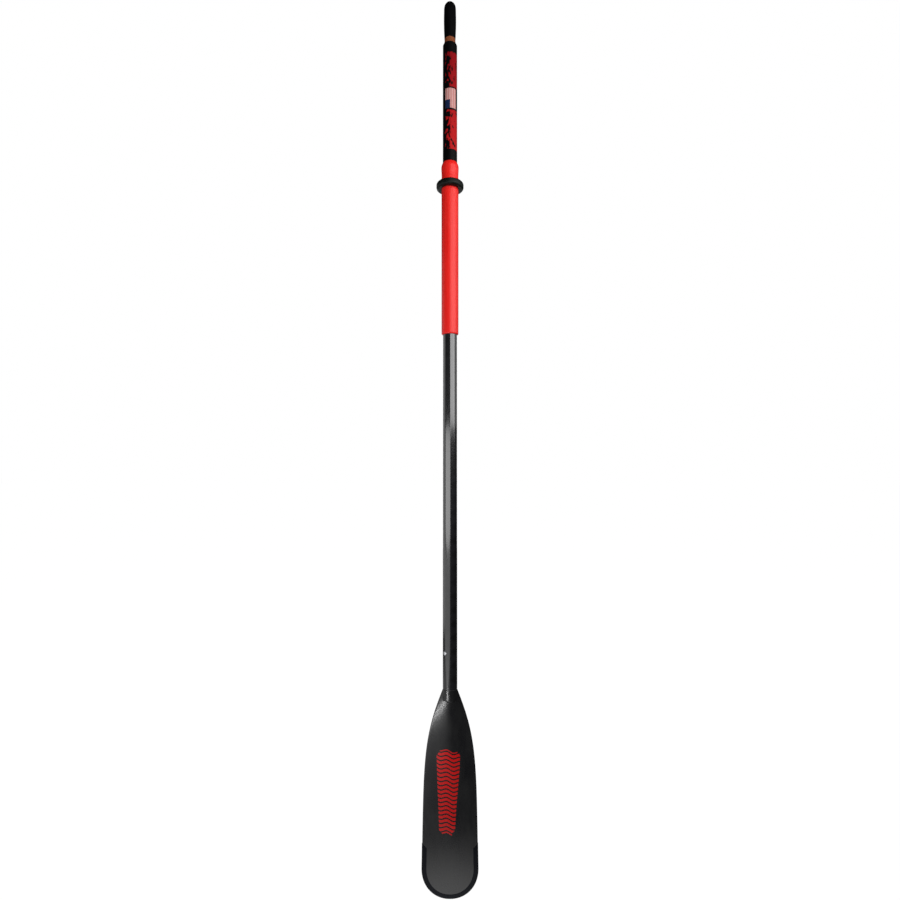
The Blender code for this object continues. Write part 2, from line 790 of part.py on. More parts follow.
def guard_stations():
    """Outer and inner edge of the tip guard, from its left end round the tip to its right end."""
    stations = []
    side_steps = 7
    for step in range(side_steps):
        rise = GUARD_TOP + (TIP_LENGTH - GUARD_TOP) * step / side_steps
        inner = half_width(rise, GUARD_STEP + guard_depth(rise, 0.0))
        stations.append(((half_width(rise, 0.0), rise), (inner, rise)))
    inset = GUARD_STEP + GUARD_WIDTH
    tip_steps = 12
    for step in range(tip_steps + 1):
        angle = math.radians(90 * step / tip_steps)
        outer_rise = TIP_LENGTH - TIP_LENGTH * math.sin(angle)
        inner_rise = TIP_LENGTH - (TIP_LENGTH - inset) * math.sin(angle)
        outer = (half_width(outer_rise, 0.0), outer_rise)
        stations.append((outer, (half_width(inner_rise, inset), inner_rise)))
    left = [((-outer[0], outer[1]), (-inner[0], inner[1])) for outer, inner in stations]
    return left + stations[-2::-1]


def make_tip_guard():
    """Cast resin band round the blade's end, a little proud of the skins and of the edge.

    Its columns crowd towards the outer edge, where the band is rounded off.
    """
    depths = (0.0, 0.07, 0.20, 0.45, 1.0)
    mesh_data = bmesh.new()
    sections = []
    for outer, inner in guard_stations():
        front, back = [], []
        width = math.dist(outer, inner)
        for depth in depths:
            x = outer[0] + (inner[0] - outer[0]) * depth
            rise = outer[1] + (inner[1] - outer[1]) * depth
            share = max(0.0, 1.0 - depth * width / EDGE_ROUND)
            crown = crown_thickness(x, rise) + GUARD_PROUD
            thickness = EDGE_LAND + (crown - EDGE_LAND) * math.sqrt(1.0 - share ** 2)
            z = BLADE_TIP + rise
            front.append(mesh_data.verts.new((x, -thickness, z)))
            back.append(mesh_data.verts.new((x, thickness, z)))
        sections.append(front + back[::-1])
    for near, far in zip(sections, sections[1:]):
        for index in range(len(near)):
            following = (index + 1) % len(near)
            mesh_data.faces.new((near[index], near[following], far[following], far[index]))
    mesh_data.faces.new(sections[0])
    mesh_data.faces.new(sections[-1])
    make_object("tip_guard", mesh_data, guard_resin())


def main():
    clear_scene()
    make_grip()
    make_handle_core()
    make_handle_pin()
    make_graphic_wrap()
    make_shaft_tube()
    make_bulkhead_plug()
    make_oar_sleeve()
    make_stopper_ring()
    make_stopper_screw()
    make_stopper_washer("stopper_washer_head", -1)
    make_stopper_washer("stopper_washer_nut", 1)
    make_stopper_nut()
    make_blade_ferrule()
    make_ferrule_plug()
    make_ferrule_pin()
    make_snap_button("snap_button_left", -1)
    make_snap_button("snap_button_right", 1)
    make_button_spring()
    make_joint_gasket()
    make_blade_neck()
    make_blade_spine()
    make_blade_core("blade_core_left", -1)
    make_blade_core("blade_core_right", 1)
    make_skin("front_skin", -1)
    make_skin("back_skin", 1)
    make_tip_guard()


main()
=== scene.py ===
"""The looks of a nine-foot rowing oar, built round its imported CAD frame.

The frame's +Z runs along the shaft to the grip, the blade's faces look along -Y and +Y, and the
origin is on the axis at the stopper's lower face. Lengths are in metres. Every visible CAD node is
replaced by a finer mesh of the same size; the nodes inside the oar keep their CAD mesh.
"""

import math

import bmesh
import bpy
from mathutils import Matrix, Vector


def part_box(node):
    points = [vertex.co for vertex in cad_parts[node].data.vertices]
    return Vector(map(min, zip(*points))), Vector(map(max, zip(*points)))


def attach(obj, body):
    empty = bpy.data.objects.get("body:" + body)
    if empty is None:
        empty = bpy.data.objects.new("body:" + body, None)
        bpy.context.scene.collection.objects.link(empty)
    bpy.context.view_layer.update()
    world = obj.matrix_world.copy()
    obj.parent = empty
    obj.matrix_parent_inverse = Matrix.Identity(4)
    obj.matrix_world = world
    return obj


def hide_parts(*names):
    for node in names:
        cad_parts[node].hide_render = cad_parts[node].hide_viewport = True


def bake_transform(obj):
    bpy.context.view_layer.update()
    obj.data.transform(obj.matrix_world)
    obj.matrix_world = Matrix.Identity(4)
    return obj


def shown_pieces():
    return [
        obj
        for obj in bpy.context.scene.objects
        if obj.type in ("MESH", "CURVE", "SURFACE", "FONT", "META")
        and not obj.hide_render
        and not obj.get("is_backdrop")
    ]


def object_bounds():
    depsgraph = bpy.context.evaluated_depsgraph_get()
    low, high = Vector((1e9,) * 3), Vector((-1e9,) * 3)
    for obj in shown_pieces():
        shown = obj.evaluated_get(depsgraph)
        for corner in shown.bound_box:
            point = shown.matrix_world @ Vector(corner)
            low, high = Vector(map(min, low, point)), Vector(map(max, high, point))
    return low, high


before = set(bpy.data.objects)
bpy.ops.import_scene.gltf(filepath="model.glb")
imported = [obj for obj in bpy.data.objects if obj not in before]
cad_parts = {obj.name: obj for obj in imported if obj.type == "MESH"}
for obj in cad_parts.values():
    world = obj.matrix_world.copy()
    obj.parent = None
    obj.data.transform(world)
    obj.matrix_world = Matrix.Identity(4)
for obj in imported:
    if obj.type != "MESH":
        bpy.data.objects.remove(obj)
OAR_LOW, OAR_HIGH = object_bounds()


# -------- places, read from the frame


def low(node):
    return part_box(node)[0]


def high(node):
    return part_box(node)[1]


def midpoint(node):
    return (low(node) + high(node)) / 2


def rim(node, z):
    """Smallest and largest distance from the shaft's axis of a CAD node's corners at a height."""
    corners = [vertex.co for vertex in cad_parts[node].data.vertices]
    reaches = [corner.xy.length for corner in corners if abs(corner.z - z) < 1e-4]
    return min(reaches), max(reaches)


# Sizes that no box or rim gives repeat the CAD's driving dimensions, or are details finer than its.
# GAP is the clearance between neighbours, and SEGMENTS the number of sides of a large turned piece.
GAP = 0.0003
SEGMENTS = 96
SMALL_SEGMENTS = 48
SMOOTH_UP_TO = math.radians(32)
BEVEL_FROM = math.radians(40)

GRIP_TOP = high("grip").z
GRIP_BOTTOM = low("grip").z
GRIP_RADIUS = high("grip").x
GRIP_BORE, GRIP_END_RADIUS = rim("grip", GRIP_BOTTOM)
GRIP_MIDDLE = GRIP_BOTTOM + 0.059
GRIP_DOME = 0.019
GRIP_LIP = 0.0008

CORE_TOP = high("handle_core").z
CORE_BOTTOM = low("handle_core").z
SHAFT_TOP = high("shaft_tube").z
SHAFT_BOTTOM = low("shaft_tube").z
SHAFT_TOP_BORE, SHAFT_TOP_RADIUS = rim("shaft_tube", SHAFT_TOP)
SHAFT_BOTTOM_BORE, SHAFT_BOTTOM_RADIUS = rim("shaft_tube", SHAFT_BOTTOM)
HANDLE_PIN = midpoint("handle_pin")
HANDLE_PIN_HOLE = high("handle_pin").y + GAP

WRAP_TOP = high("graphic_wrap").z
WRAP_BOTTOM = low("graphic_wrap").z
WRAP_ROUND = 0.0002

SLEEVE_TOP = high("oar_sleeve").z
SLEEVE_BOTTOM = low("oar_sleeve").z
SLEEVE_TAPER = 0.014
SLEEVE_ROUND = 0.004
BULB_RADIUS = high("oar_sleeve").x
WAIST_Z = 0.040
WAIST_RADIUS = rim("oar_sleeve", WAIST_Z)[1]
BODY_TOP = 0.020
SLEEVE_RADIUS = rim("oar_sleeve", BODY_TOP)[1]

STOPPER_RADIUS = high("stopper_ring").x
STOPPER_WIDTH = high("stopper_ring").z
STOPPER_ROUND = 0.0065
STOPPER_CHAMFER = 0.001
STOPPER_SPLIT = 0.0024
STOPPER_BEVEL = 0.0004

SCREW_OFFSET = midpoint("stopper_screw").y
SCREW_RADIUS = 0.0025
SCREW_HEAD_RADIUS = high("stopper_screw").y - SCREW_OFFSET
SCREW_HEAD_HEIGHT = 0.005
SCREW_SOCKET = 0.0023
WASHER_RADIUS = high("stopper_washer_nut").y - SCREW_OFFSET
WASHER_THICKNESS = high("stopper_washer_nut").x - low("stopper_washer_nut").x
NUT_CORNER = high("stopper_nut").y - SCREW_OFFSET
NUT_HEIGHT = high("stopper_nut").x - low("stopper_nut").x
POCKET_FLOOR = low("stopper_washer_nut").x - GAP
POCKET_RADIUS = 0.0053

BUTTON_Z = midpoint("snap_button_left").z
BUTTON_ANGLE = math.radians(43)
BUTTON_INNER = 0.0137
BUTTON_SHOULDER = 0.0148
BUTTON_FLANGE = high("snap_button_left").z - BUTTON_Z
BUTTON_RADIUS = 0.0058
BUTTON_TOP = 0.0250
BUTTON_DOME = 0.0028
BUTTON_HOLE = 0.0062
SPRING_THICKNESS = 0.001
SPRING_WIDTH = 0.009
SPRING_PAD = high("button_spring").z - BUTTON_Z
SPRING_BEND = 0.004
SPRING_DROP = 0.040
FERRULE_RADIUS = high("blade_ferrule").x

BLADE_TIP = low("tip_guard").z
BLADE_TOP = high("blade_neck").z
BLADE_LENGTH = BLADE_TOP - BLADE_TIP
BLADE_HALF_WIDTH = 0.0844
BLADE_FLARE = 0.0049
SHOULDER_LENGTH = 0.160
TIP_LENGTH = 0.095
TIP_FULLNESS = 2.1
ROOT_RISE = low("blade_neck").z - BLADE_TIP
ROOT_CROWN = 0.0135
TIP_CROWN = 0.0032
CROWN_POWER = 1.4
EDGE_CROWN = 0.0025
EDGE_LAND = 0.0008
EDGE_ROUND = 0.003
RIDGE_RADIUS = 0.018
SKIN = 0.0016
COLLAR_ROUND = 0.007
COLLAR_BLEND = 0.0016
SPINE_HALF_WIDTH = high("blade_spine").x
SPINE_HALF_THICKNESS = high("blade_spine").y
GUARD_TOP = high("tip_guard").z - BLADE_TIP
GUARD_WIDTH = 0.014
GUARD_STEP = 0.0009
GUARD_PROUD = 0.0004
GUARD_FEATHER = 0.005
GUARD_REACH = 0.8 * GAP

ALONG_X = Matrix.Rotation(math.radians(90), 4, "Y")


# -------- surfaces


def screen(red, green, blue):
    """A linear colour from screen levels of 0 to 255."""
    levels = [level / 255.0 for level in (red, green, blue)]
    linear = [v / 12.92 if v < 0.04045 else ((v + 0.055) / 1.055) ** 2.4 for v in levels]
    return (*linear, 1.0)


def feed(tree, value, socket):
    """Link a field or a socket to a node's input, or set the input to a plain value."""
    if isinstance(value, Field):
        value = value.socket
    if isinstance(value, bpy.types.NodeSocket):
        tree.links.new(value, socket)
    else:
        socket.default_value = value


class Field:
    """A number that varies over a surface. Arithmetic on it adds math nodes to its material."""

    def __init__(self, tree, socket):
        self.tree = tree
        self.socket = socket

    def math(self, operation, *others):
        node = self.tree.nodes.new("ShaderNodeMath")
        node.operation = operation
        for place, value in enumerate((self, *others)):
            feed(self.tree, value, node.inputs[place])
        return Field(self.tree, node.outputs[0])

    def __add__(self, other):
        return self.math("ADD", other)

    def __sub__(self, other):
        return self.math("SUBTRACT", other)

    def __mul__(self, other):
        return self.math("MULTIPLY", other)

    def __truediv__(self, other):
        return self.math("DIVIDE", other)

    def __abs__(self):
        return self.math("ABSOLUTE")

    def sine(self):
        return self.math("SINE")

    def fraction(self):
        return self.math("FRACT")

    def whole(self):
        return self.math("FLOOR")

    def larger(self, other):
        return self.math("MAXIMUM", other)

    def spread(self, from_low, from_high, to_low=0.0, to_high=1.0):
        """Smoothly from to_low, where this is from_low, to to_high, where this is from_high."""
        node = self.tree.nodes.new("ShaderNodeMapRange")
        node.interpolation_type = "SMOOTHSTEP"
        values = (self, from_low, from_high, to_low, to_high)
        for place, value in enumerate(values):
            feed(self.tree, value, node.inputs[place])
        return Field(self.tree, node.outputs[0])

    def within(self, start, end, soft):
        """1 between start and end and 0 outside, with soft edges of a given width."""
        return self.spread(start - soft, start) * self.spread(end, end + soft, 1.0, 0.0)


class Surface:
    """A Principled material whose colour, roughness and relief come from its own nodes."""

    def __init__(self, name, metallic=0.0, coat=0.0, coat_roughness=0.03, specular=0.5):
        self.material = bpy.data.materials.new(name)
        self.material.use_nodes = True
        self.tree = self.material.node_tree
        self.shader = self.tree.nodes["Principled BSDF"]
        self.shader.inputs["Metallic"].default_value = metallic
        self.shader.inputs["Coat Weight"].default_value = coat
        self.shader.inputs["Coat Roughness"].default_value = coat_roughness
        self.shader.inputs["Specular IOR Level"].default_value = specular
        self.place = self.tree.nodes.new("ShaderNodeTexCoord").outputs["Object"]
        split = self.tree.nodes.new("ShaderNodeSeparateXYZ")
        self.tree.links.new(self.place, split.inputs[0])
        self.x, self.y, self.z = [Field(self.tree, socket) for socket in split.outputs]

    def turn(self):
        """Angle round the shaft's axis in radians: 0 at the front, positive towards +X."""
        return self.x.math("ARCTAN2", self.y * -1.0)

    def pattern(self, kind, output, scale, stretch, detail):
        """A noise or cell texture with its grains so many to the metre, stretched by a vector."""
        scaling = self.tree.nodes.new("ShaderNodeVectorMath")
        scaling.operation = "MULTIPLY"
        self.tree.links.new(self.place, scaling.inputs[0])
        scaling.inputs[1].default_value = [scale / factor for factor in stretch]
        texture = self.tree.nodes.new(kind)
        texture.inputs["Scale"].default_value = 1.0
        texture.inputs["Detail"].default_value = detail
        self.tree.links.new(scaling.outputs[0], texture.inputs["Vector"])
        return Field(self.tree, texture.outputs[output])

    def noise(self, scale, stretch=(1, 1, 1), detail=2.0):
        return self.pattern("ShaderNodeTexNoise", "Fac", scale, stretch, detail)

    def cells(self, scale):
        return self.pattern("ShaderNodeTexVoronoi", "Distance", scale, (1, 1, 1), 0.0)

    def mix(self, factor, first, second):
        """A colour between two others."""
        node = self.tree.nodes.new("ShaderNodeMix")
        node.data_type = "RGBA"
        feed(self.tree, factor, node.inputs["Factor"])
        feed(self.tree, first, node.inputs[6])
        feed(self.tree, second, node.inputs[7])
        return node.outputs[2]

    def finish(self, colour, roughness, *reliefs):
        """Join up the shader. Each relief is a height field and its depth in metres."""
        feed(self.tree, colour, self.shader.inputs["Base Color"])
        feed(self.tree, roughness, self.shader.inputs["Roughness"])
        normal = None
        for height, depth in reliefs:
            bump = self.tree.nodes.new("ShaderNodeBump")
            bump.inputs["Distance"].default_value = depth
            feed(self.tree, height, bump.inputs["Height"])
            if normal:
                self.tree.links.new(normal, bump.inputs["Normal"])
            normal = bump.outputs["Normal"]
        if normal:
            self.tree.links.new(normal, self.shader.inputs["Normal"])
        return self.material


def grip_rubber():
    """Black rubber with a fine pebble, a mould line down each side and a hand-worn barrel."""
    s = Surface("grip_rubber", specular=0.05)
    pebble = s.cells(900.0)
    smear = s.noise(60.0, (1, 1, 3), detail=4.0)
    mould_line = abs(s.y).spread(0.0001, 0.0004, 1.0, 0.0)
    colour = s.mix(smear.spread(0.35, 0.75), screen(2, 2, 3), screen(7, 7, 8))
    roughness = smear.spread(0.3, 0.7, 0.62, 0.48)
    return s.finish(colour, roughness, (pebble, 0.00012), (mould_line, 0.0002))


def stopper_rubber():
    """Dark grey-green moulded rubber: fine grain, a pale bloom and a parting line on its rim."""
    s = Surface("stopper_rubber", specular=0.14)
    grain = s.noise(1400.0, detail=3.0)
    bloom = s.noise(90.0, detail=5.0).spread(0.42, 0.72)
    parting = abs(s.z - STOPPER_WIDTH / 2).spread(0.0001, 0.0004, 1.0, 0.0)
    colour = s.mix(bloom, screen(9, 14, 11), screen(20, 25, 22))
    roughness = bloom.spread(0.0, 1.0, 0.42, 0.58)
    return s.finish(colour, roughness, (grain, 0.00006), (parting, 0.00025))


def gasket_rubber():
    """Plain black sealing rubber with a fine grain."""
    s = Surface("gasket_rubber")
    grain = s.noise(1500.0)
    colour = s.mix(grain, screen(12, 12, 13), screen(24, 24, 25))
    return s.finish(colour, grain.spread(0.2, 0.8, 0.5, 0.7), (grain, 0.00004))


def handle_wood():
    """Turned and varnished hardwood: growth rings off the axis, fine pores along the grain."""
    s = Surface("handle_wood", coat=0.7, coat_roughness=0.12)
    heart_x, heart_y = 0.041, 0.012
    radians_per_metre = 2600.0
    wander = s.noise(22.0, (1, 1, 4), detail=2.0) * 0.006
    from_heart = (s.x - heart_x).math("POWER", 2.0) + (s.y - heart_y).math("POWER", 2.0)
    rings = ((from_heart.math("SQRT") + wander) * radians_per_metre).sine().spread(-0.7, 1.0)
    pores = s.noise(1500.0, (1, 1, 22), detail=2.0).spread(0.52, 0.68)
    tone = s.mix(rings, screen(150, 86, 52), screen(100, 50, 28))
    colour = s.mix(pores * 0.65, tone, screen(58, 26, 14))
    return s.finish(colour, pores.spread(0.0, 1.0, 0.30, 0.45), (pores * -1.0, 0.00005))


def shaft_composite():
    """Filament-wound black tube under a gloss clear coat, with two crossing helices of tow."""
    s = Surface("shaft_composite", coat=1.0, coat_roughness=0.12, specular=0.12)
    s.shader.inputs["Coat IOR"].default_value = 1.75
    helix_pitch, starts = 0.042, 2.0
    turn = s.turn() * starts
    climb = s.z * (math.tau / helix_pitch)
    one_way = (turn + climb).sine()
    other_way = (turn - climb).sine()
    lattice = one_way.larger(other_way)
    fibre = s.noise(2600.0, (1, 1, 14), detail=2.0)
    mottle = s.noise(18.0, (1, 1, 2.5), detail=4.0)
    tow = s.mix(lattice.spread(-0.4, 1.0), screen(12, 12, 13), screen(19, 19, 21))
    colour = s.mix(mottle.spread(0.35, 0.75) * 0.4, tow, screen(27, 27, 30))
    roughness = fibre.spread(0.3, 0.7, 0.34, 0.42)
    return s.finish(colour, roughness, (lattice, 0.00002), (fibre, 0.000004))


def sleeve_plastic():
    """Moulded red plastic: satin orange peel, flow streaks, and scuffs where an oarlock runs."""
    s = Surface("sleeve_plastic", specular=0.3)
    track_bottom, track_top, track_fade = -0.115, -0.012, 0.030
    peel = s.noise(420.0, (1, 1, 1.6), detail=2.0)
    streak = s.noise(260.0, (1, 1, 40), detail=2.0)
    track = s.z.within(track_bottom, track_top, track_fade)
    scuff = s.noise(1300.0, (6, 6, 0.35), detail=3.0).spread(0.58, 0.72) * track
    flow = s.mix(streak.spread(0.3, 0.7), screen(212, 26, 21), screen(222, 34, 28))
    colour = s.mix(scuff * 0.35, flow, screen(238, 112, 100))
    roughness = peel.spread(0.3, 0.7, 0.33, 0.40) + scuff * 0.2
    return s.finish(colour, roughness, (peel, 0.00010), (scuff * -1.0, 0.00003))


def wrap_film():
    """Black printed film: a flame-like red band above and below a small striped panel."""
    s = Surface("wrap_film", specular=0.07)
    turn = s.turn()
    arc = turn * rim("graphic_wrap", WRAP_TOP)[1]
    soft = 0.0004
    flame_left, flame_right, flame_soft = -0.0150, 0.0300, 0.003
    panel_left, panel_right = -0.0152, 0.0200
    stripe_pitch = 0.0072

    def between(start, end):
        """1 between two heights, given as shares of the wrap's."""
        height = WRAP_TOP - WRAP_BOTTOM
        return s.z.within(WRAP_BOTTOM + height * start, WRAP_BOTTOM + height * end, soft)

    film = s.noise(900.0, detail=2.0)
    black = s.mix(film.spread(0.3, 0.7), screen(2, 2, 3), screen(7, 7, 8))
    red = s.mix(s.z.spread(WRAP_BOTTOM, WRAP_TOP), screen(168, 22, 24), screen(122, 8, 16))
    flame_arc = arc.within(flame_left, flame_right, flame_soft)
    bands = (between(0.095, 0.425) + between(0.620, 0.912)) * flame_arc
    flame = s.noise(130.0, (1, 1, 1.7), detail=2.0)
    fuller_right = arc.spread(-0.014, 0.012) * 0.24
    printed = (fuller_right + flame).spread(0.58, 0.65) * bands
    panel = between(0.440, 0.607) * arc.within(panel_left, panel_right, soft)
    block = between(0.440, 0.510) * arc.within(panel_left, 0.0, soft)
    stripes = (arc / stripe_pitch).fraction().within(0.30, 0.62, 0.12)
    pale = s.mix(stripes * 0.8, screen(186, 146, 142), screen(170, 98, 94))
    badge = s.mix(block, pale, screen(20, 34, 66))
    colour = s.mix(panel, s.mix(printed, black, red), badge)
    lap_start, lap_width = math.pi - 0.02, 0.004
    lap = (abs(turn) - lap_start).spread(0.0, lap_width)
    roughness = film.spread(0.2, 0.8, 0.40, 0.52)
    return s.finish(colour, roughness, (printed + panel, 0.00004), (lap, 0.0002))


def blade_motif(s):
    """1 on the blade's print: a stack of rippled bars, wider towards its top, with rounded corners."""
    bottom, top, corner = 0.200, 0.457, 0.016
    wave_length, wave_height = 0.040, 0.0034
    bar_pitch, bar_slope = 0.0129, 0.16
    soft = 0.0006
    rise = s.z - BLADE_TIP
    wave = (s.x * (math.tau / wave_length)).sine() * wave_height
    level = rise + wave + s.x * bar_slope
    bars = abs((level / bar_pitch).fraction() - 0.5).spread(0.30, 0.34, 1.0, 0.0)
    taper = rise.spread(bottom, top)
    middle = rise.within(bottom + corner, top - corner, corner)
    left_reach = taper * 0.007 + middle * 0.010 + 0.0240
    right_reach = taper * 0.015 + middle * 0.010 + 0.0060
    inside = (left_reach + s.x).spread(0.0, soft) * (right_reach - s.x).spread(0.0, soft)
    front = s.y.spread(-0.0001, 0.0001, 1.0, 0.0)
    return bars * inside * level.within(bottom, top, soft) * front


def twill(s, tow_width):
    """Height of a twill weave of tows, each so wide, on faces that look along Y."""
    across, along = s.x / tow_width, s.z / tow_width
    warp_on_top = ((across.whole() + along.whole()) * 0.25).fraction().spread(0.49, 0.51)
    warp = (across * math.pi).sine()
    weft = (along * math.pi).sine()
    warp_height = abs(warp) * warp_on_top
    weft_height = abs(weft) * (warp_on_top * -1.0 + 1.0)
    return warp_height + weft_height, warp_on_top


def blade_composite():
    """Satin black laminate: twill under resin, soft mottling, a worn edge and a polished neck."""
    s = Surface("blade_composite", specular=0.5)
    tow_width = 0.0022
    weave, warp_on_top = twill(s, tow_width)
    mottle = s.noise(26.0, (1, 1, 2.2), detail=5.0)
    drawn = s.noise(240.0, (1, 1, 30), detail=2.0)
    base = s.mix(warp_on_top, screen(14, 14, 16), screen(18, 18, 20))
    clouded = s.mix(mottle.spread(0.35, 0.70) * 0.6, base, screen(25, 25, 25))
    streaked = s.mix(drawn.spread(0.45, 0.75) * 0.35, clouded, screen(10, 10, 13))
    wear_noise = s.noise(170.0, (1, 1, 3), detail=4.0)
    edge = abs(s.y).spread(0.0014, 0.0034, 1.0, 0.0)
    wear = edge * wear_noise.spread(0.48, 0.66)
    worn = s.mix(wear * 0.4, streaked, screen(58, 59, 62))
    printed = blade_motif(s)
    colour = s.mix(printed, worn, screen(158, 12, 12))
    polish = s.z.spread(BLADE_TIP + ROOT_RISE, BLADE_TOP, 0.0, 0.12)
    roughness = mottle.spread(0.3, 0.7, 0.25, 0.33) + wear * 0.2 - polish
    return s.finish(colour, roughness, (weave, 0.00003), (mottle, 0.0002), (printed, 0.00005))


def guard_resin():
    """Near-black cast resin with chopped fibre just under its skin and rubbed outer edge."""
    s = Surface("guard_resin", specular=0.08)
    fibre = s.noise(700.0, (5, 1, 1), detail=3.0).spread(0.5, 0.62)
    cross_fibre = s.noise(700.0, (1, 1, 5), detail=3.0).spread(0.5, 0.62)
    chopped = fibre.larger(cross_fibre)
    edge = abs(s.y).spread(0.0006, 0.0018, 1.0, 0.0)
    rub = edge * s.noise(120.0, detail=5.0).spread(0.45, 0.65)
    base = s.mix(chopped * 0.6, screen(5, 6, 11), screen(12, 14, 21))
    colour = s.mix(rub * 0.3, base, screen(40, 41, 46))
    roughness = chopped.spread(0.0, 1.0, 0.36, 0.46) + rub * 0.2
    return s.finish(colour, roughness, (chopped, 0.00003), (rub * -1.0, 0.0001))


def steel(name, tint, roughness):
    """Bright steel, lightly brushed, with faint stains."""
    s = Surface(name, metallic=1.0)
    brushed = s.noise(2600.0, (1, 8, 8), detail=2.0)
    stain = s.noise(240.0, detail=4.0).spread(0.5, 0.8)
    darker = tuple(0.55 * level for level in tint[:3]) + (1.0,)
    colour = s.mix(stain * 0.6, tint, darker)
    rough = brushed.spread(0.2, 0.8, roughness - 0.06, roughness + 0.06) + stain * 0.15
    return s.finish(colour, rough, (brushed, 0.00001))


def core_foam():
    """Cream rigid foam with open cells."""
    s = Surface("core_foam", specular=0.2)
    cell = s.cells(1300.0)
    colour = s.mix(cell.spread(0.1, 0.6), screen(190, 172, 122), screen(222, 208, 162))
    return s.finish(colour, cell.spread(0.0, 0.6, 0.95, 0.85), (cell, 0.0003))


def spar_composite():
    """Unidirectional carbon: long straight fibres along the oar."""
    s = Surface("spar_composite", specular=0.5)
    fibre = s.noise(2200.0, (1, 1, 60), detail=2.0)
    colour = s.mix(fibre.spread(0.35, 0.65), screen(20, 20, 22), screen(44, 44, 47))
    return s.finish(colour, fibre.spread(0.2, 0.8, 0.30, 0.45), (fibre, 0.00003))


# -------- mesh tools


def rounded(corners, steps=5):
    """Points of an outline through (radius, height, fillet) corners, with an arc at each fillet."""
    points = []
    for index, (radius, height, fillet) in enumerate(corners):
        corner = Vector((radius, height))
        if fillet == 0.0:
            points.append(corner)
            continue
        before = (Vector(corners[index - 1][:2]) - corner).normalized()
        after = (Vector(corners[(index + 1) % len(corners)][:2]) - corner).normalized()
        half_angle = before.angle(after) / 2
        centre = corner + (before + after).normalized() * fillet / math.sin(half_angle)
        start = corner + before * fillet / math.tan(half_angle) - centre
        end = corner + after * fillet / math.tan(half_angle) - centre
        first = math.atan2(start.y, start.x)
        sweep = (math.atan2(end.y, end.x) - first + math.pi) % math.tau - math.pi
        for step in range(steps + 1):
            angle = first + sweep * step / steps
            points.append(centre + Vector((math.cos(angle), math.sin(angle))) * fillet)
    return points


def turned(outline, segments=SEGMENTS):
    """Turn an outline of (radius, height) points about Z. It closes itself off the axis."""
    mesh_data = bmesh.new()
    points = [mesh_data.verts.new((radius, 0.0, height)) for radius, height in outline]
    edges = []
    for before, point in zip([points[-1]] + points, points):
        if before.co.x > 0.0 or point.co.x > 0.0:
            edges.append(mesh_data.edges.new((before, point)))
    bmesh.ops.spin(
        mesh_data, geom=points + edges, cent=(0, 0, 0), axis=(0, 0, 1),
        angle=math.tau, steps=segments, use_merge=True,
    )
    bmesh.ops.remove_doubles(mesh_data, verts=mesh_data.verts, dist=1e-7)
    return mesh_data


def rod(radius, length, segments=SMALL_SEGMENTS):
    """A round or many-sided pin along Z, centred on the origin."""
    half = length / 2
    return turned([(0.0, half), (radius, half), (radius, -half), (0.0, -half)], segments)


def block(size):
    """A block centred on the origin: only used to cut slots."""
    mesh_data = bmesh.new()
    bmesh.ops.create_cube(mesh_data, size=1.0)
    bmesh.ops.scale(mesh_data, vec=size, verts=mesh_data.verts)
    return mesh_data


def placed(mesh_data, matrix):
    bmesh.ops.transform(mesh_data, matrix=matrix, verts=mesh_data.verts)
    return mesh_data


def eased(share):
    """The same way from 0 to 1, but slow at both ends."""
    return (1.0 - math.cos(math.pi * share)) / 2


def slab(rises, span, faces, columns):
    """A solid between two surfaces y(x, rise), over rows of x at heights above the blade's tip."""
    mesh_data = bmesh.new()
    rows = []
    for rise in rises:
        left, right = span(rise)
        row = []
        for column in range(columns + 1):
            x = left + (right - left) * eased(column / columns)
            z = BLADE_TIP + rise
            row.append([mesh_data.verts.new((x, y, z)) for y in faces(x, rise)])
        rows.append(row)
    for upper, lower in zip(rows, rows[1:]):
        for side in (0, 1):
            for column in range(columns):
                corners = (upper[column], upper[column + 1], lower[column + 1], lower[column])
                mesh_data.faces.new([corner[side] for corner in corners])
        for end in (0, columns):
            mesh_data.faces.new((upper[end][0], upper[end][1], lower[end][1], lower[end][0]))
    for row in (rows[0], rows[-1]):
        for near, far in zip(row, row[1:]):
            mesh_data.faces.new((near[0], near[1], far[1], far[0]))
    return mesh_data


def lofted(mesh_data, sections):
    """Close a solid through a row of sections that have the same number of corners."""
    for near, far in zip(sections, sections[1:]):
        for index in range(len(near)):
            following = (index + 1) % len(near)
            mesh_data.faces.new((near[index], near[following], far[following], far[index]))
    mesh_data.faces.new(sections[0])
    mesh_data.faces.new(sections[-1])
    return mesh_data


def smooth(mesh):
    mesh.shade_smooth()
    mesh.set_sharp_from_angle(angle=SMOOTH_UP_TO)


def loose_object(name, mesh_data):
    mesh = bpy.data.meshes.new(name)
    bmesh.ops.recalc_face_normals(mesh_data, faces=mesh_data.faces)
    mesh_data.to_mesh(mesh)
    mesh_data.free()
    made = bpy.data.objects.new(name, mesh)
    bpy.context.scene.collection.objects.link(made)
    return made


def piece(name, mesh_data, surface, body, node):
    """Make a shown piece that rides on a body, finishes as a slot and stands for a CAD node."""
    made = loose_object(name, mesh_data)
    made.data.materials.append(surface)
    smooth(made.data)
    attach(made, body)
    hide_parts(node)
    return made


def settle(target):
    """Replace a piece's mesh by what its modifiers make of it, and remove them."""
    evaluated = target.evaluated_get(bpy.context.evaluated_depsgraph_get())
    mesh = bpy.data.meshes.new_from_object(evaluated)
    target.modifiers.clear()
    target.data = mesh
    smooth(mesh)


def carve(target, mesh_data, operation="DIFFERENCE"):
    """Cut a closed shape away from a piece."""
    cutter = loose_object("cutter", mesh_data)
    modifier = target.modifiers.new("carve", "BOOLEAN")
    modifier.operation = operation
    modifier.object = cutter
    settle(target)
    bpy.data.objects.remove(cutter)


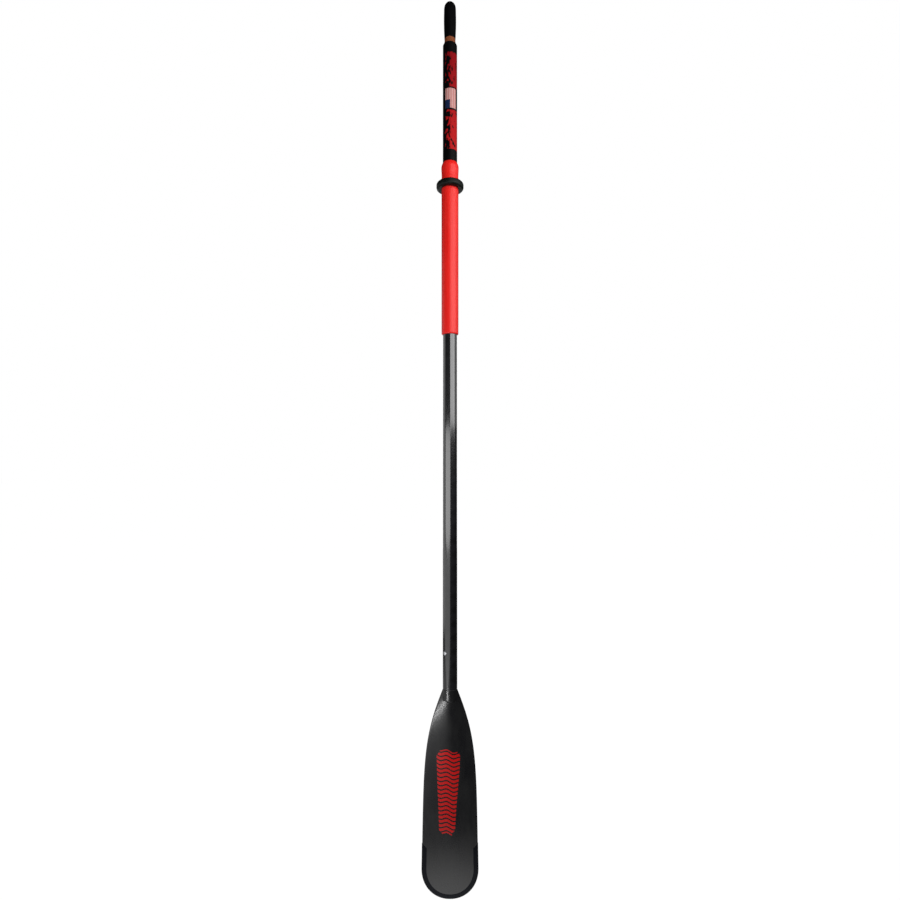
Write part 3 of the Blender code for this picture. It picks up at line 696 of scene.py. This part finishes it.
def soften(target, width):
    """Bevel a piece's sharp edges."""
    modifier = target.modifiers.new("soften", "BEVEL")
    modifier.width = width
    modifier.segments = 2
    modifier.limit_method = "ANGLE"
    modifier.angle_limit = BEVEL_FROM
    settle(target)


def even_normals():
    """Weight every finer piece's normals by face area, so that narrow bevels leave wide faces flat."""
    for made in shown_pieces():
        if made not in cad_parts.values():
            modifier = made.modifiers.new("even_normals", "WEIGHTED_NORMAL")
            modifier.keep_sharp = True


# -------- handle, shaft and wrap


def make_grip():
    """Barrel with a domed end and a rolled lip, bored from below for the wooden handle."""
    dome_foot = GRIP_TOP - GRIP_DOME
    half = GRIP_MIDDLE - GRIP_BOTTOM
    dome_steps, barrel_steps = 15, 20

    def barrel(z):
        return GRIP_RADIUS - (GRIP_RADIUS - GRIP_END_RADIUS) * ((z - GRIP_MIDDLE) / half) ** 2

    outline = [(0.0, GRIP_TOP, 0.0)]
    for step in range(1, dome_steps):
        bow = math.radians(90 - 90 * step / dome_steps)
        height = dome_foot + GRIP_DOME * math.sin(bow)
        outline.append((barrel(dome_foot) * math.cos(bow), height, 0.0))
    for step in range(barrel_steps):
        z = dome_foot + (GRIP_BOTTOM - dome_foot) * step / barrel_steps
        outline.append((barrel(z), z, 0.0))
    bore_top = CORE_TOP + GAP
    outline += [(GRIP_END_RADIUS, GRIP_BOTTOM, GRIP_LIP), (GRIP_BORE, GRIP_BOTTOM, GAP)]
    outline += [(GRIP_BORE, bore_top, 0.0), (0.0, bore_top, 0.0)]
    piece("rubber_grip", turned(rounded(outline)), grip_rubber(), "oar", "grip")


def make_handle():
    """Turned wooden handle: spigots above and below a bare flared neck."""
    neck_top = GRIP_BOTTOM - GAP
    neck_foot = SHAFT_TOP + GAP
    top_radius = rim("handle_core", neck_top)[1]
    foot_radius = rim("handle_core", neck_foot)[1]
    upper_spigot = rim("handle_core", CORE_TOP)[1]
    lower_spigot = rim("handle_core", CORE_BOTTOM)[1]
    end_round, shoulder_round = 0.001, 0.0004
    neck_steps = 15
    outline = [(0.0, CORE_TOP, 0.0), (upper_spigot, CORE_TOP, end_round)]
    outline.append((upper_spigot, neck_top, 0.0))
    for step in range(neck_steps):
        share = step / neck_steps
        radius = top_radius + (foot_radius - top_radius) * share ** 2
        outline.append((radius, neck_top + (neck_foot - neck_top) * share, 0.0))
    outline += [(foot_radius, neck_foot, shoulder_round), (lower_spigot, neck_foot, 0.0)]
    outline += [(lower_spigot, CORE_BOTTOM, end_round), (0.0, CORE_BOTTOM, 0.0)]
    handle = piece(
        "wooden_handle", turned(rounded(outline)), handle_wood(), "oar", "handle_core"
    )
    carve(handle, handle_pin_cutter())


def handle_pin_cutter():
    place = Matrix.Translation(HANDLE_PIN) @ ALONG_X
    return placed(rod(HANDLE_PIN_HOLE, 3 * SHAFT_TOP_RADIUS), place)


def button_direction(side):
    """Unit vector from the axis out through a snap button: side is -1 for left, 1 for right."""
    return Vector((side * math.sin(BUTTON_ANGLE), side * math.cos(BUTTON_ANGLE), 0.0))


def button_place(side):
    """Turns a shape made along Z to lie along a button's line of travel."""
    turn = button_direction(side).to_track_quat("Z", "Y").to_matrix().to_4x4()
    return Matrix.Translation((0, 0, BUTTON_Z)) @ turn


def make_shaft():
    """Tapered composite tube with a hole for each snap button and for the handle's pin."""
    above_pin, below_pin = HANDLE_PIN.z + 0.010, HANDLE_PIN.z - 0.010
    above_button, below_button = BUTTON_Z + 0.012, BUTTON_Z - 0.012
    heights = (above_pin, below_pin, above_button, below_button)
    length = SHAFT_TOP - SHAFT_BOTTOM
    top_round, bottom_round = 0.0003, 0.0006

    def side(top_radius, bottom_radius):
        shares = [(SHAFT_TOP - z) / length for z in heights]
        return [
            (top_radius + (bottom_radius - top_radius) * share, SHAFT_TOP - length * share, 0.0)
            for share in shares
        ]

    outline = [(SHAFT_TOP_RADIUS, SHAFT_TOP, top_round)]
    outline += side(SHAFT_TOP_RADIUS, SHAFT_BOTTOM_RADIUS)
    outline += [(SHAFT_BOTTOM_RADIUS, SHAFT_BOTTOM, bottom_round)]
    outline += [(SHAFT_BOTTOM_BORE, SHAFT_BOTTOM, bottom_round)]
    outline += side(SHAFT_TOP_BORE, SHAFT_BOTTOM_BORE)[::-1]
    outline += [(SHAFT_TOP_BORE, SHAFT_TOP, top_round)]
    shaft = piece(
        "composite_shaft", turned(rounded(outline)), shaft_composite(), "oar",
        "shaft_tube",
    )
    carve(shaft, placed(rod(BUTTON_HOLE, 4 * SHAFT_BOTTOM_RADIUS), button_place(1)))
    carve(shaft, handle_pin_cutter())
    soften(shaft, top_round)


def make_wrap():
    """Printed film round the upper shaft, with rounded rims."""
    inner_top, outer_top = rim("graphic_wrap", WRAP_TOP)
    inner_bottom, outer_bottom = rim("graphic_wrap", WRAP_BOTTOM)
    outline = [
        (outer_top, WRAP_TOP, WRAP_ROUND),
        (outer_bottom, WRAP_BOTTOM, WRAP_ROUND),
        (inner_bottom, WRAP_BOTTOM, 0.0),
        (inner_top, WRAP_TOP, 0.0),
    ]
    piece("printed_wrap", turned(rounded(outline)), wrap_film(), "oar", "graphic_wrap")


# -------- sleeve and stopper


def ease(start, end, steps):
    """Points after the start of a soft step in an outline, level at both its ends."""
    points = []
    for step in range(1, steps + 1):
        share = step / steps
        radius = start[0] + (end[0] - start[0]) * eased(share)
        points.append((radius, start[1] + (end[1] - start[1]) * share, 0.0))
    return points


def make_sleeve():
    """Wear sleeve: a bullet-shaped top swells to a low bulb, then a waist and a long round body."""
    inner_top, lip = rim("oar_sleeve", SLEEVE_TOP)
    inner_bottom = rim("oar_sleeve", SLEEVE_BOTTOM)[0]
    bulb_steps, body_steps = 16, 10
    outline = [(inner_top, SLEEVE_TOP, GAP), (lip, SLEEVE_TOP, GAP)]
    for step in range(1, bulb_steps + 1):
        share = step / bulb_steps
        radius = lip + (BULB_RADIUS - lip) * math.sin(share * math.pi / 2)
        outline.append((radius, SLEEVE_TOP - SLEEVE_TAPER * share, 0.0))
    waist = (WAIST_RADIUS, WAIST_Z)
    outline += ease(outline[-1], waist, bulb_steps)
    outline += ease(waist, (SLEEVE_RADIUS, BODY_TOP), body_steps)
    outline += [(SLEEVE_RADIUS, SLEEVE_BOTTOM, SLEEVE_ROUND), (inner_bottom, SLEEVE_BOTTOM, 0.0)]
    piece(
        "red_sleeve", turned(rounded(outline, 8)), sleeve_plastic(), "oar",
        "oar_sleeve",
    )


def along_split(mesh_data, x):
    """Lay a shape that was turned about Z along the pinch screw, at a place on its axis."""
    place = Matrix.Translation((x, SCREW_OFFSET, STOPPER_WIDTH / 2))
    return placed(mesh_data, place @ ALONG_X)


def make_stopper():
    """Split rubber ring with two pockets for its pinch screw."""
    bore = SLEEVE_RADIUS + GAP
    outline = [
        (bore, 0.0, STOPPER_CHAMFER),
        (bore, STOPPER_WIDTH, STOPPER_CHAMFER),
        (STOPPER_RADIUS, STOPPER_WIDTH, STOPPER_ROUND),
        (STOPPER_RADIUS, 0.0, STOPPER_ROUND),
    ]
    ring = piece(
        "rubber_stopper", turned(rounded(outline, 8)), stopper_rubber(), "stopper",
        "stopper_ring",
    )
    middle = Vector((0, (STOPPER_RADIUS + bore) / 2, STOPPER_WIDTH / 2))
    split = block((STOPPER_SPLIT, 2 * (STOPPER_RADIUS - bore), 2 * STOPPER_WIDTH))
    carve(ring, placed(split, Matrix.Translation(middle)))
    carve(ring, along_split(rod(SCREW_RADIUS + GAP, 3 * POCKET_FLOOR), 0.0))
    for side in (-1, 1):
        pocket = rod(POCKET_RADIUS, STOPPER_RADIUS)
        carve(ring, along_split(pocket, side * (POCKET_FLOOR + STOPPER_RADIUS / 2)))
    soften(ring, STOPPER_BEVEL)


def make_screw():
    """M5 socket screw with a hexagon socket and rolled threads."""
    head_face = low("stopper_washer_head").x - GAP
    top = head_face - SCREW_HEAD_HEIGHT
    end = high("stopper_screw").x
    thread_pitch, thread_depth = 0.0008, 0.0004
    thread_end = POCKET_FLOOR - 0.004
    foot_round, end_round = 0.0003, 0.0005
    outline = [(0.0, end, 0.0), (SCREW_RADIUS, end, end_round)]
    crest = end - thread_pitch
    while crest > thread_end:
        outline.append((SCREW_RADIUS, crest, 0.0))
        outline.append((SCREW_RADIUS - thread_depth, crest - thread_pitch / 2, 0.0))
        crest -= thread_pitch
    outline += [(SCREW_RADIUS, crest, 0.0), (SCREW_RADIUS, head_face, 0.0)]
    outline += [(SCREW_HEAD_RADIUS, head_face, foot_round), (SCREW_HEAD_RADIUS, top, end_round)]
    outline.append((0.0, top, 0.0))
    screw = piece(
        "pinch_screw", along_split(turned(rounded(outline, 3), SMALL_SEGMENTS), 0.0),
        steel("screw_steel", screen(196, 198, 202), 0.28), "stopper", "stopper_screw",
    )
    carve(screw, along_split(rod(SCREW_SOCKET, SCREW_HEAD_HEIGHT, 6), top))


def make_washer(name, node):
    """Flat washer with rolled rims."""
    half = WASHER_THICKNESS / 2
    hole = SCREW_RADIUS + GAP
    outer_round, inner_round = 0.0003, 0.0001
    outline = [
        (WASHER_RADIUS, half, outer_round),
        (WASHER_RADIUS, -half, outer_round),
        (hole, -half, inner_round),
        (hole, half, inner_round),
    ]
    centre = midpoint(node).x
    piece(
        name, along_split(turned(rounded(outline, 3), SMALL_SEGMENTS), centre),
        steel(name + "_steel", screen(184, 184, 180), 0.34), "stopper", node,
    )


def make_nut():
    """Hexagon nut whose corners are turned off at both ends."""
    half = NUT_HEIGHT / 2
    flats = NUT_CORNER * math.cos(math.radians(30))
    chamfer = (NUT_CORNER - flats) * math.tan(math.radians(30))
    centre = midpoint("stopper_nut").x
    outline = [
        (0.0, half), (flats, half), (NUT_CORNER, half - chamfer),
        (NUT_CORNER, chamfer - half), (flats, -half), (0.0, -half),
    ]
    nut = piece(
        "pinch_nut", along_split(rod(NUT_CORNER, NUT_HEIGHT, 6), centre),
        steel("nut_steel", screen(190, 190, 186), 0.32), "stopper", "stopper_nut",
    )
    carve(nut, along_split(turned(outline, SMALL_SEGMENTS), centre), "INTERSECT")
    carve(nut, along_split(rod(SCREW_RADIUS + GAP, 2 * NUT_HEIGHT), centre))


# -------- blade joint


def make_button(name, node, body, side):
    """Domed steel snap button with an inner flange."""
    foot = BUTTON_TOP - BUTTON_DOME
    flange_round = 0.0003
    dome_steps = 10
    outline = [
        (0.0, BUTTON_INNER, 0.0),
        (BUTTON_FLANGE, BUTTON_INNER, flange_round),
        (BUTTON_FLANGE, BUTTON_SHOULDER, flange_round),
        (BUTTON_RADIUS, BUTTON_SHOULDER, 0.0),
    ]
    for step in range(dome_steps):
        bow = math.radians(90 * step / dome_steps)
        height = foot + BUTTON_DOME * math.sin(bow)
        outline.append((BUTTON_RADIUS * math.cos(bow), height, 0.0))
    outline.append((0.0, BUTTON_TOP, 0.0))
    mesh_data = placed(turned(rounded(outline, 3), SMALL_SEGMENTS), button_place(side))
    surface = steel(name + "_steel", screen(186, 187, 190), 0.46)
    piece(name, mesh_data, surface, body, node)


def spring_arm(name, side):
    """Half of the V spring: from the middle of its bend up to one button."""
    arm = BUTTON_INNER - GAP - SPRING_THICKNESS / 2
    bend_steps, arm_steps = 8, 12
    angles = [math.radians(90 * step / bend_steps) for step in range(bend_steps + 1)]
    line = [
        Vector((SPRING_BEND * math.sin(angle), -SPRING_BEND * math.cos(angle) - SPRING_DROP))
        for angle in angles
    ]
    knee = Vector((arm, -SPRING_PAD))
    line += [line[-1].lerp(knee, step / arm_steps) for step in range(1, arm_steps + 1)]
    line.append(Vector((arm, SPRING_PAD)))
    out = button_direction(side)
    across = out.cross(Vector((0, 0, 1)))
    mesh_data = bmesh.new()
    sections = []
    for index, point in enumerate(line):
        run = (line[min(index + 1, len(line) - 1)] - line[max(index - 1, 0)]).normalized()
        if index == 0:
            run = Vector((1, 0))
        normal = Vector((-run.y, run.x)) * SPRING_THICKNESS / 2
        section = []
        for flat, edge in ((-1, -1), (1, -1), (1, 1), (-1, 1)):
            place = point + normal * flat
            corner = out * place.x + across * edge * SPRING_WIDTH / 2
            section.append(mesh_data.verts.new(corner + Vector((0, 0, BUTTON_Z + place.y))))
        sections.append(section)
    made = loose_object(name, lofted(mesh_data, sections))
    made.data.materials.append(steel(name + "_steel", screen(170, 172, 176), 0.30))
    smooth(made.data)
    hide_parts("button_spring")
    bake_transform(made)


def make_gasket():
    """Thin rubber ring between the shaft's end and the blade's neck."""
    bottom, top = low("joint_gasket").z, high("joint_gasket").z
    inner, outer = rim("joint_gasket", top)
    edge = 0.0005
    outline = [(outer, top, edge), (outer, bottom, edge), (inner, bottom, 0.0), (inner, top, 0.0)]
    piece("gasket", turned(rounded(outline)), gasket_rubber(), "oar", "joint_gasket")


# -------- blade


def half_width(rise, inset):
    """Half the blade's width at a height above its tip, with the outline drawn in by inset."""
    below_top = BLADE_LENGTH - rise
    full = BLADE_HALF_WIDTH + BLADE_FLARE * (below_top / BLADE_LENGTH) ** 3
    shoulder = math.tanh(below_top / SHOULDER_LENGTH)
    side = SHAFT_BOTTOM_RADIUS + (full - SHAFT_BOTTOM_RADIUS) * shoulder - inset
    down = min(1.0, max(0.0, (TIP_LENGTH - rise) / (TIP_LENGTH - inset)))
    return side * (1.0 - down ** TIP_FULLNESS) ** (1.0 / TIP_FULLNESS)


def guard_depth(rise, clearance):
    """How far the tip guard reaches in from the edge, growing at 45 degrees from its top end."""
    grown = GUARD_TOP - rise + math.sqrt(2) * clearance
    return min(GUARD_WIDTH + clearance, max(0.0, grown))


def crown_thickness(x, rise):
    """Half the blade's thickness without its rounded edge: a round-topped ridge down the middle."""
    crown = TIP_CROWN + (ROOT_CROWN - TIP_CROWN) * (max(rise, 0.0) / ROOT_RISE) ** CROWN_POWER
    reach = half_width(max(rise, TIP_LENGTH), GUARD_STEP)
    fall = math.hypot(x, RIDGE_RADIUS) - RIDGE_RADIUS
    full_fall = math.hypot(reach, RIDGE_RADIUS) - RIDGE_RADIUS
    return EDGE_CROWN + (crown - EDGE_CROWN) * (1.0 - fall / full_fall)


def rounded_off(thickness, from_edge):
    """Half a thickness that falls to the edge's land, at a distance from the edge."""
    share = min(1.0, max(0.0, 1.0 - from_edge / EDGE_ROUND))
    return EDGE_LAND + (thickness - EDGE_LAND) * math.sqrt(1.0 - share ** 2)


def half_thickness(x, rise):
    """Half the blade's thickness, rounded off towards its edge."""
    return rounded_off(crown_thickness(x, rise), half_width(rise, GUARD_STEP) - abs(x))


def make_neck(surface):
    """Round collar that carries the ferrule, blended into the start of the blade's shoulders."""
    collar_foot = BLADE_LENGTH - ROOT_RISE

    def collar(x, rise):
        """Depth of the round collar, whose lower end is rounded off."""
        into_end = max(0.0, COLLAR_ROUND - (rise - ROOT_RISE))
        drawn_in = COLLAR_ROUND - math.sqrt(COLLAR_ROUND ** 2 - into_end ** 2)
        radius = SHAFT_BOTTOM_RADIUS - drawn_in
        return math.sqrt(max(0.0, radius ** 2 - x ** 2))

    def depth(x, rise):
        """The larger of the two depths, with a small fillet where they meet."""
        round_depth, flat_depth = collar(x, rise), half_thickness(x, rise)
        edge_room = min(1.0, (half_width(rise, GUARD_STEP) - abs(x)) / EDGE_ROUND)
        fillet = COLLAR_BLEND * max(0.0, edge_room)
        apart = math.hypot(round_depth - flat_depth, fillet)
        return (round_depth + flat_depth + apart) / 2

    def faces(x, rise):
        return -depth(x, rise), depth(x, rise)

    def span(rise):
        return -half_width(rise, GUARD_STEP), half_width(rise, GUARD_STEP)

    steps, columns = 30, 96
    rises = [BLADE_LENGTH - collar_foot * step / steps for step in range(steps + 1)]
    neck = piece(
        "neck_casting", slab(rises, span, faces, columns), surface, "oar",
        "blade_neck",
    )
    bore_length = BLADE_TOP - low("blade_ferrule").z + GAP
    bore = rod(FERRULE_RADIUS + GAP, 2 * bore_length, SEGMENTS)
    carve(neck, placed(bore, Matrix.Translation((0, 0, BLADE_TOP))))
    slot = block((2 * (SPINE_HALF_WIDTH + GAP), 2 * (SPINE_HALF_THICKNESS + GAP), collar_foot))
    carve(neck, placed(slot, Matrix.Translation((0, 0, BLADE_TIP + ROOT_RISE))))


def blade_rows(top, inset):
    """Heights of a skin's rows: even down to the tip's curve, then by angle round it."""
    guard_marks = [GUARD_TOP + math.sqrt(2) * GAP, GUARD_TOP - GUARD_WIDTH]
    side_steps, tip_steps = 70, 24
    last_angle = 89.5
    rows = [top + (TIP_LENGTH - top) * step / side_steps for step in range(side_steps + 1)]
    rows = sorted(rows + guard_marks, reverse=True)
    for step in range(1, tip_steps + 1):
        angle = math.radians(last_angle * step / tip_steps)
        rows.append(TIP_LENGTH - (TIP_LENGTH - inset) * math.sin(angle))
    return rows


def make_skin(name, node, side, surface):
    """One composite skin, hollowed for the core."""

    def faces(x, rise):
        outer = half_thickness(x, rise)
        inner = max(GAP / 2, outer - SKIN)
        return side * outer, side * inner

    def span(rise):
        inset = GUARD_STEP + guard_depth(rise, GAP)
        return -half_width(rise, inset), half_width(rise, inset)

    columns = 56
    rows = blade_rows(ROOT_RISE - GAP, GUARD_STEP + GUARD_WIDTH + GAP)
    piece(name, slab(rows, span, faces, columns), surface, "oar", node)


def guard_stations():
    """Outer and inner edge of the tip guard, from its left end round the tip to its right end."""
    stations = []
    side_steps = 24
    for step in range(side_steps):
        rise = GUARD_TOP + (TIP_LENGTH - GUARD_TOP) * step / side_steps
        inner = half_width(rise, GUARD_STEP + guard_depth(rise, GUARD_REACH))
        stations.append(((half_width(rise, 0.0), rise), (inner, rise)))
    inset = GUARD_STEP + GUARD_WIDTH + GUARD_REACH
    tip_steps = 40
    for step in range(tip_steps + 1):
        angle = math.radians(90 * step / tip_steps)
        outer_rise = TIP_LENGTH - TIP_LENGTH * math.sin(angle)
        inner_rise = TIP_LENGTH - (TIP_LENGTH - inset) * math.sin(angle)
        outer = (half_width(outer_rise, 0.0), outer_rise)
        stations.append((outer, (half_width(inner_rise, inset), inner_rise)))
    left = [((-outer[0], outer[1]), (-inner[0], inner[1])) for outer, inner in stations]
    return left + stations[-2::-1]


def make_guard():
    """Cast band round the blade's end, a little proud of the skins, feathered at its inner edge."""
    columns = 14
    mesh_data = bmesh.new()
    sections = []
    for outer, inner in guard_stations():
        front, back = [], []
        width = math.dist(outer, inner)
        for column in range(columns + 1):
            share = eased(column / columns)
            x = outer[0] + (inner[0] - outer[0]) * share
            rise = outer[1] + (inner[1] - outer[1]) * share
            feather = min(1.0, (1.0 - share) * width / GUARD_FEATHER)
            crown = crown_thickness(x, rise) + GUARD_PROUD * math.sin(feather * math.pi / 2)
            thickness = rounded_off(crown, share * width)
            z = BLADE_TIP + rise
            front.append(mesh_data.verts.new((x, -thickness, z)))
            back.append(mesh_data.verts.new((x, thickness, z)))
        sections.append(front + back[::-1])
    guard = lofted(mesh_data, sections)
    piece("cast_tip_guard", guard, guard_resin(), "oar", "tip_guard")


# -------- pieces that keep their CAD mesh


def dress_inner_nodes():
    """Give the CAD nodes inside the oar their own surfaces."""
    dressed = (
        (core_foam(), ("bulkhead_plug", "blade_core_left", "blade_core_right")),
        (spar_composite(), ("blade_spine",)),
        (steel("pin_steel", screen(186, 187, 190), 0.30), ("handle_pin", "ferrule_pin")),
        (gasket_rubber(), ("ferrule_plug",)),
        (shaft_composite(), ("blade_ferrule",)),
    )
    for surface, nodes in dressed:
        for node in nodes:
            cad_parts[node].material_slots[0].material = surface


# -------- studio


def make_camera():
    """Level camera in front of the oar's middle, close enough to look up at the stopper."""
    margin = 0.005
    distance = 1.55
    above_middle = 0.0023
    frame_height = (OAR_HIGH.z - OAR_LOW.z) * (1.0 + margin)
    camera = bpy.data.objects.new("camera", bpy.data.cameras.new("camera"))
    camera.data.sensor_width = 36.0
    camera.data.lens = camera.data.sensor_width * distance / frame_height
    camera.location = (0.0, -distance, (OAR_HIGH.z + OAR_LOW.z) / 2 + above_middle)
    camera.rotation_euler = (math.radians(90), 0.0, 0.0)
    bpy.context.scene.collection.objects.link(camera)
    bpy.context.scene.camera = camera


def panel(name, bearing, distance, bottom, top, width, radiance):
    """Upright soft box that faces the oar. Its bearing is 0 at the camera, positive to the right."""
    light = bpy.data.lights.new(name, "AREA")
    light.shape = "RECTANGLE"
    light.size = width
    light.size_y = top - bottom
    light.energy = radiance * math.pi * width * (top - bottom)
    lamp = bpy.data.objects.new(name, light)
    turn = math.radians(bearing)
    lamp.location = (distance * math.sin(turn), -distance * math.cos(turn), (bottom + top) / 2)
    lamp.rotation_euler = (math.radians(90), 0.0, turn)
    lamp.visible_camera = False
    bpy.context.scene.collection.objects.link(lamp)


def seen_white(tree, unseen):
    """A strength of 1 for the camera and another, dimmer one for everything else."""
    path = tree.nodes.new("ShaderNodeLightPath")
    seen = Field(tree, path.outputs["Is Camera Ray"])
    return seen + (seen * -1.0 + 1.0) * unseen


def make_floor():
    """White floor, whose own light falls off away from the oar and to its right."""
    s = Surface("floor_paper", specular=0.0)
    from_oar = (s.x.math("POWER", 2.0) + s.y.math("POWER", 2.0)).math("SQRT")
    pool_core, pool_radius, pool_light = 0.03, 0.30, 1.3
    left_core, left_radius, left_light = 0.5, 2.2, 0.8
    pool = from_oar.spread(pool_core, pool_radius, pool_light, 0.0)
    left = s.x.spread(-0.45, 0.05, left_light, 0.0)
    left = left * from_oar.spread(left_core, left_radius, 1.0, 0.0)
    feed(s.tree, seen_white(s.tree, pool + left), s.shader.inputs["Emission Strength"])
    s.shader.inputs["Emission Color"].default_value = (1.0, 1.0, 1.0, 1.0)
    mesh_data = bmesh.new()
    half_side, below_oar = 20.0, 0.001
    bmesh.ops.create_grid(mesh_data, x_segments=1, y_segments=1, size=half_side)
    place = Matrix.Translation((0, 0, OAR_LOW.z - below_oar))
    floor = loose_object("floor", placed(mesh_data, place))
    floor.data.materials.append(s.finish(screen(60, 60, 60), 0.9))
    floor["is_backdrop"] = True


def make_studio():
    """White backdrop and the soft boxes."""
    scene = bpy.context.scene
    scene.view_settings.view_transform = "Standard"
    world = bpy.data.worlds.new("studio")
    scene.world = world
    world.use_nodes = True
    background = world.node_tree.nodes["Background"]
    background.inputs["Color"].default_value = (1.0, 1.0, 1.0, 1.0)
    reflected_white = 0.02
    strength = seen_white(world.node_tree, reflected_white)
    feed(world.node_tree, strength, background.inputs["Strength"])
    # The right boxes end and the left box begins here, so the shaft's highlight changes sides.
    handover = -0.62
    panel("right_box", 42.0, 2.2, handover, 1.35, 3.4, 4.05)
    panel("right_rim_box", 98.0, 2.2, handover, 1.35, 3.0, 0.6)
    panel("left_box", -35.8, 2.2, -1.53, handover, 3.7, 3.2)
    panel("low_left_box", -42.0, 1.4, -2.16, -1.40, 2.6, 0.85)
    panel("glint_box", -40.0, 0.35, -1.735, -1.700, 0.10, 36.0)
    panel("left_rim_box", -112.0, 2.2, -2.16, 0.60, 2.4, 0.8)
    panel("fill_box", 180.0, 4.0, -1.9, 0.6, 3.0, 1.5)


def main():
    blade_surface = blade_composite()
    make_grip()
    make_handle()
    make_shaft()
    make_wrap()
    make_sleeve()
    make_stopper()
    make_screw()
    make_washer("washer_at_head", "stopper_washer_head")
    make_washer("washer_at_nut", "stopper_washer_nut")
    make_nut()
    make_button("button_left_dome", "snap_button_left", "button_left", -1)
    make_button("button_right_dome", "snap_button_right", "button_right", 1)
    spring_arm("spring_arm_left", -1)
    spring_arm("spring_arm_right", 1)
    make_gasket()
    make_neck(blade_surface)
    make_skin("skin_front", "front_skin", -1, blade_surface)
    make_skin("skin_back", "back_skin", 1, blade_surface)
    make_guard()
    even_normals()
    dress_inner_nodes()
    make_camera()
    make_floor()
    make_studio()


main()
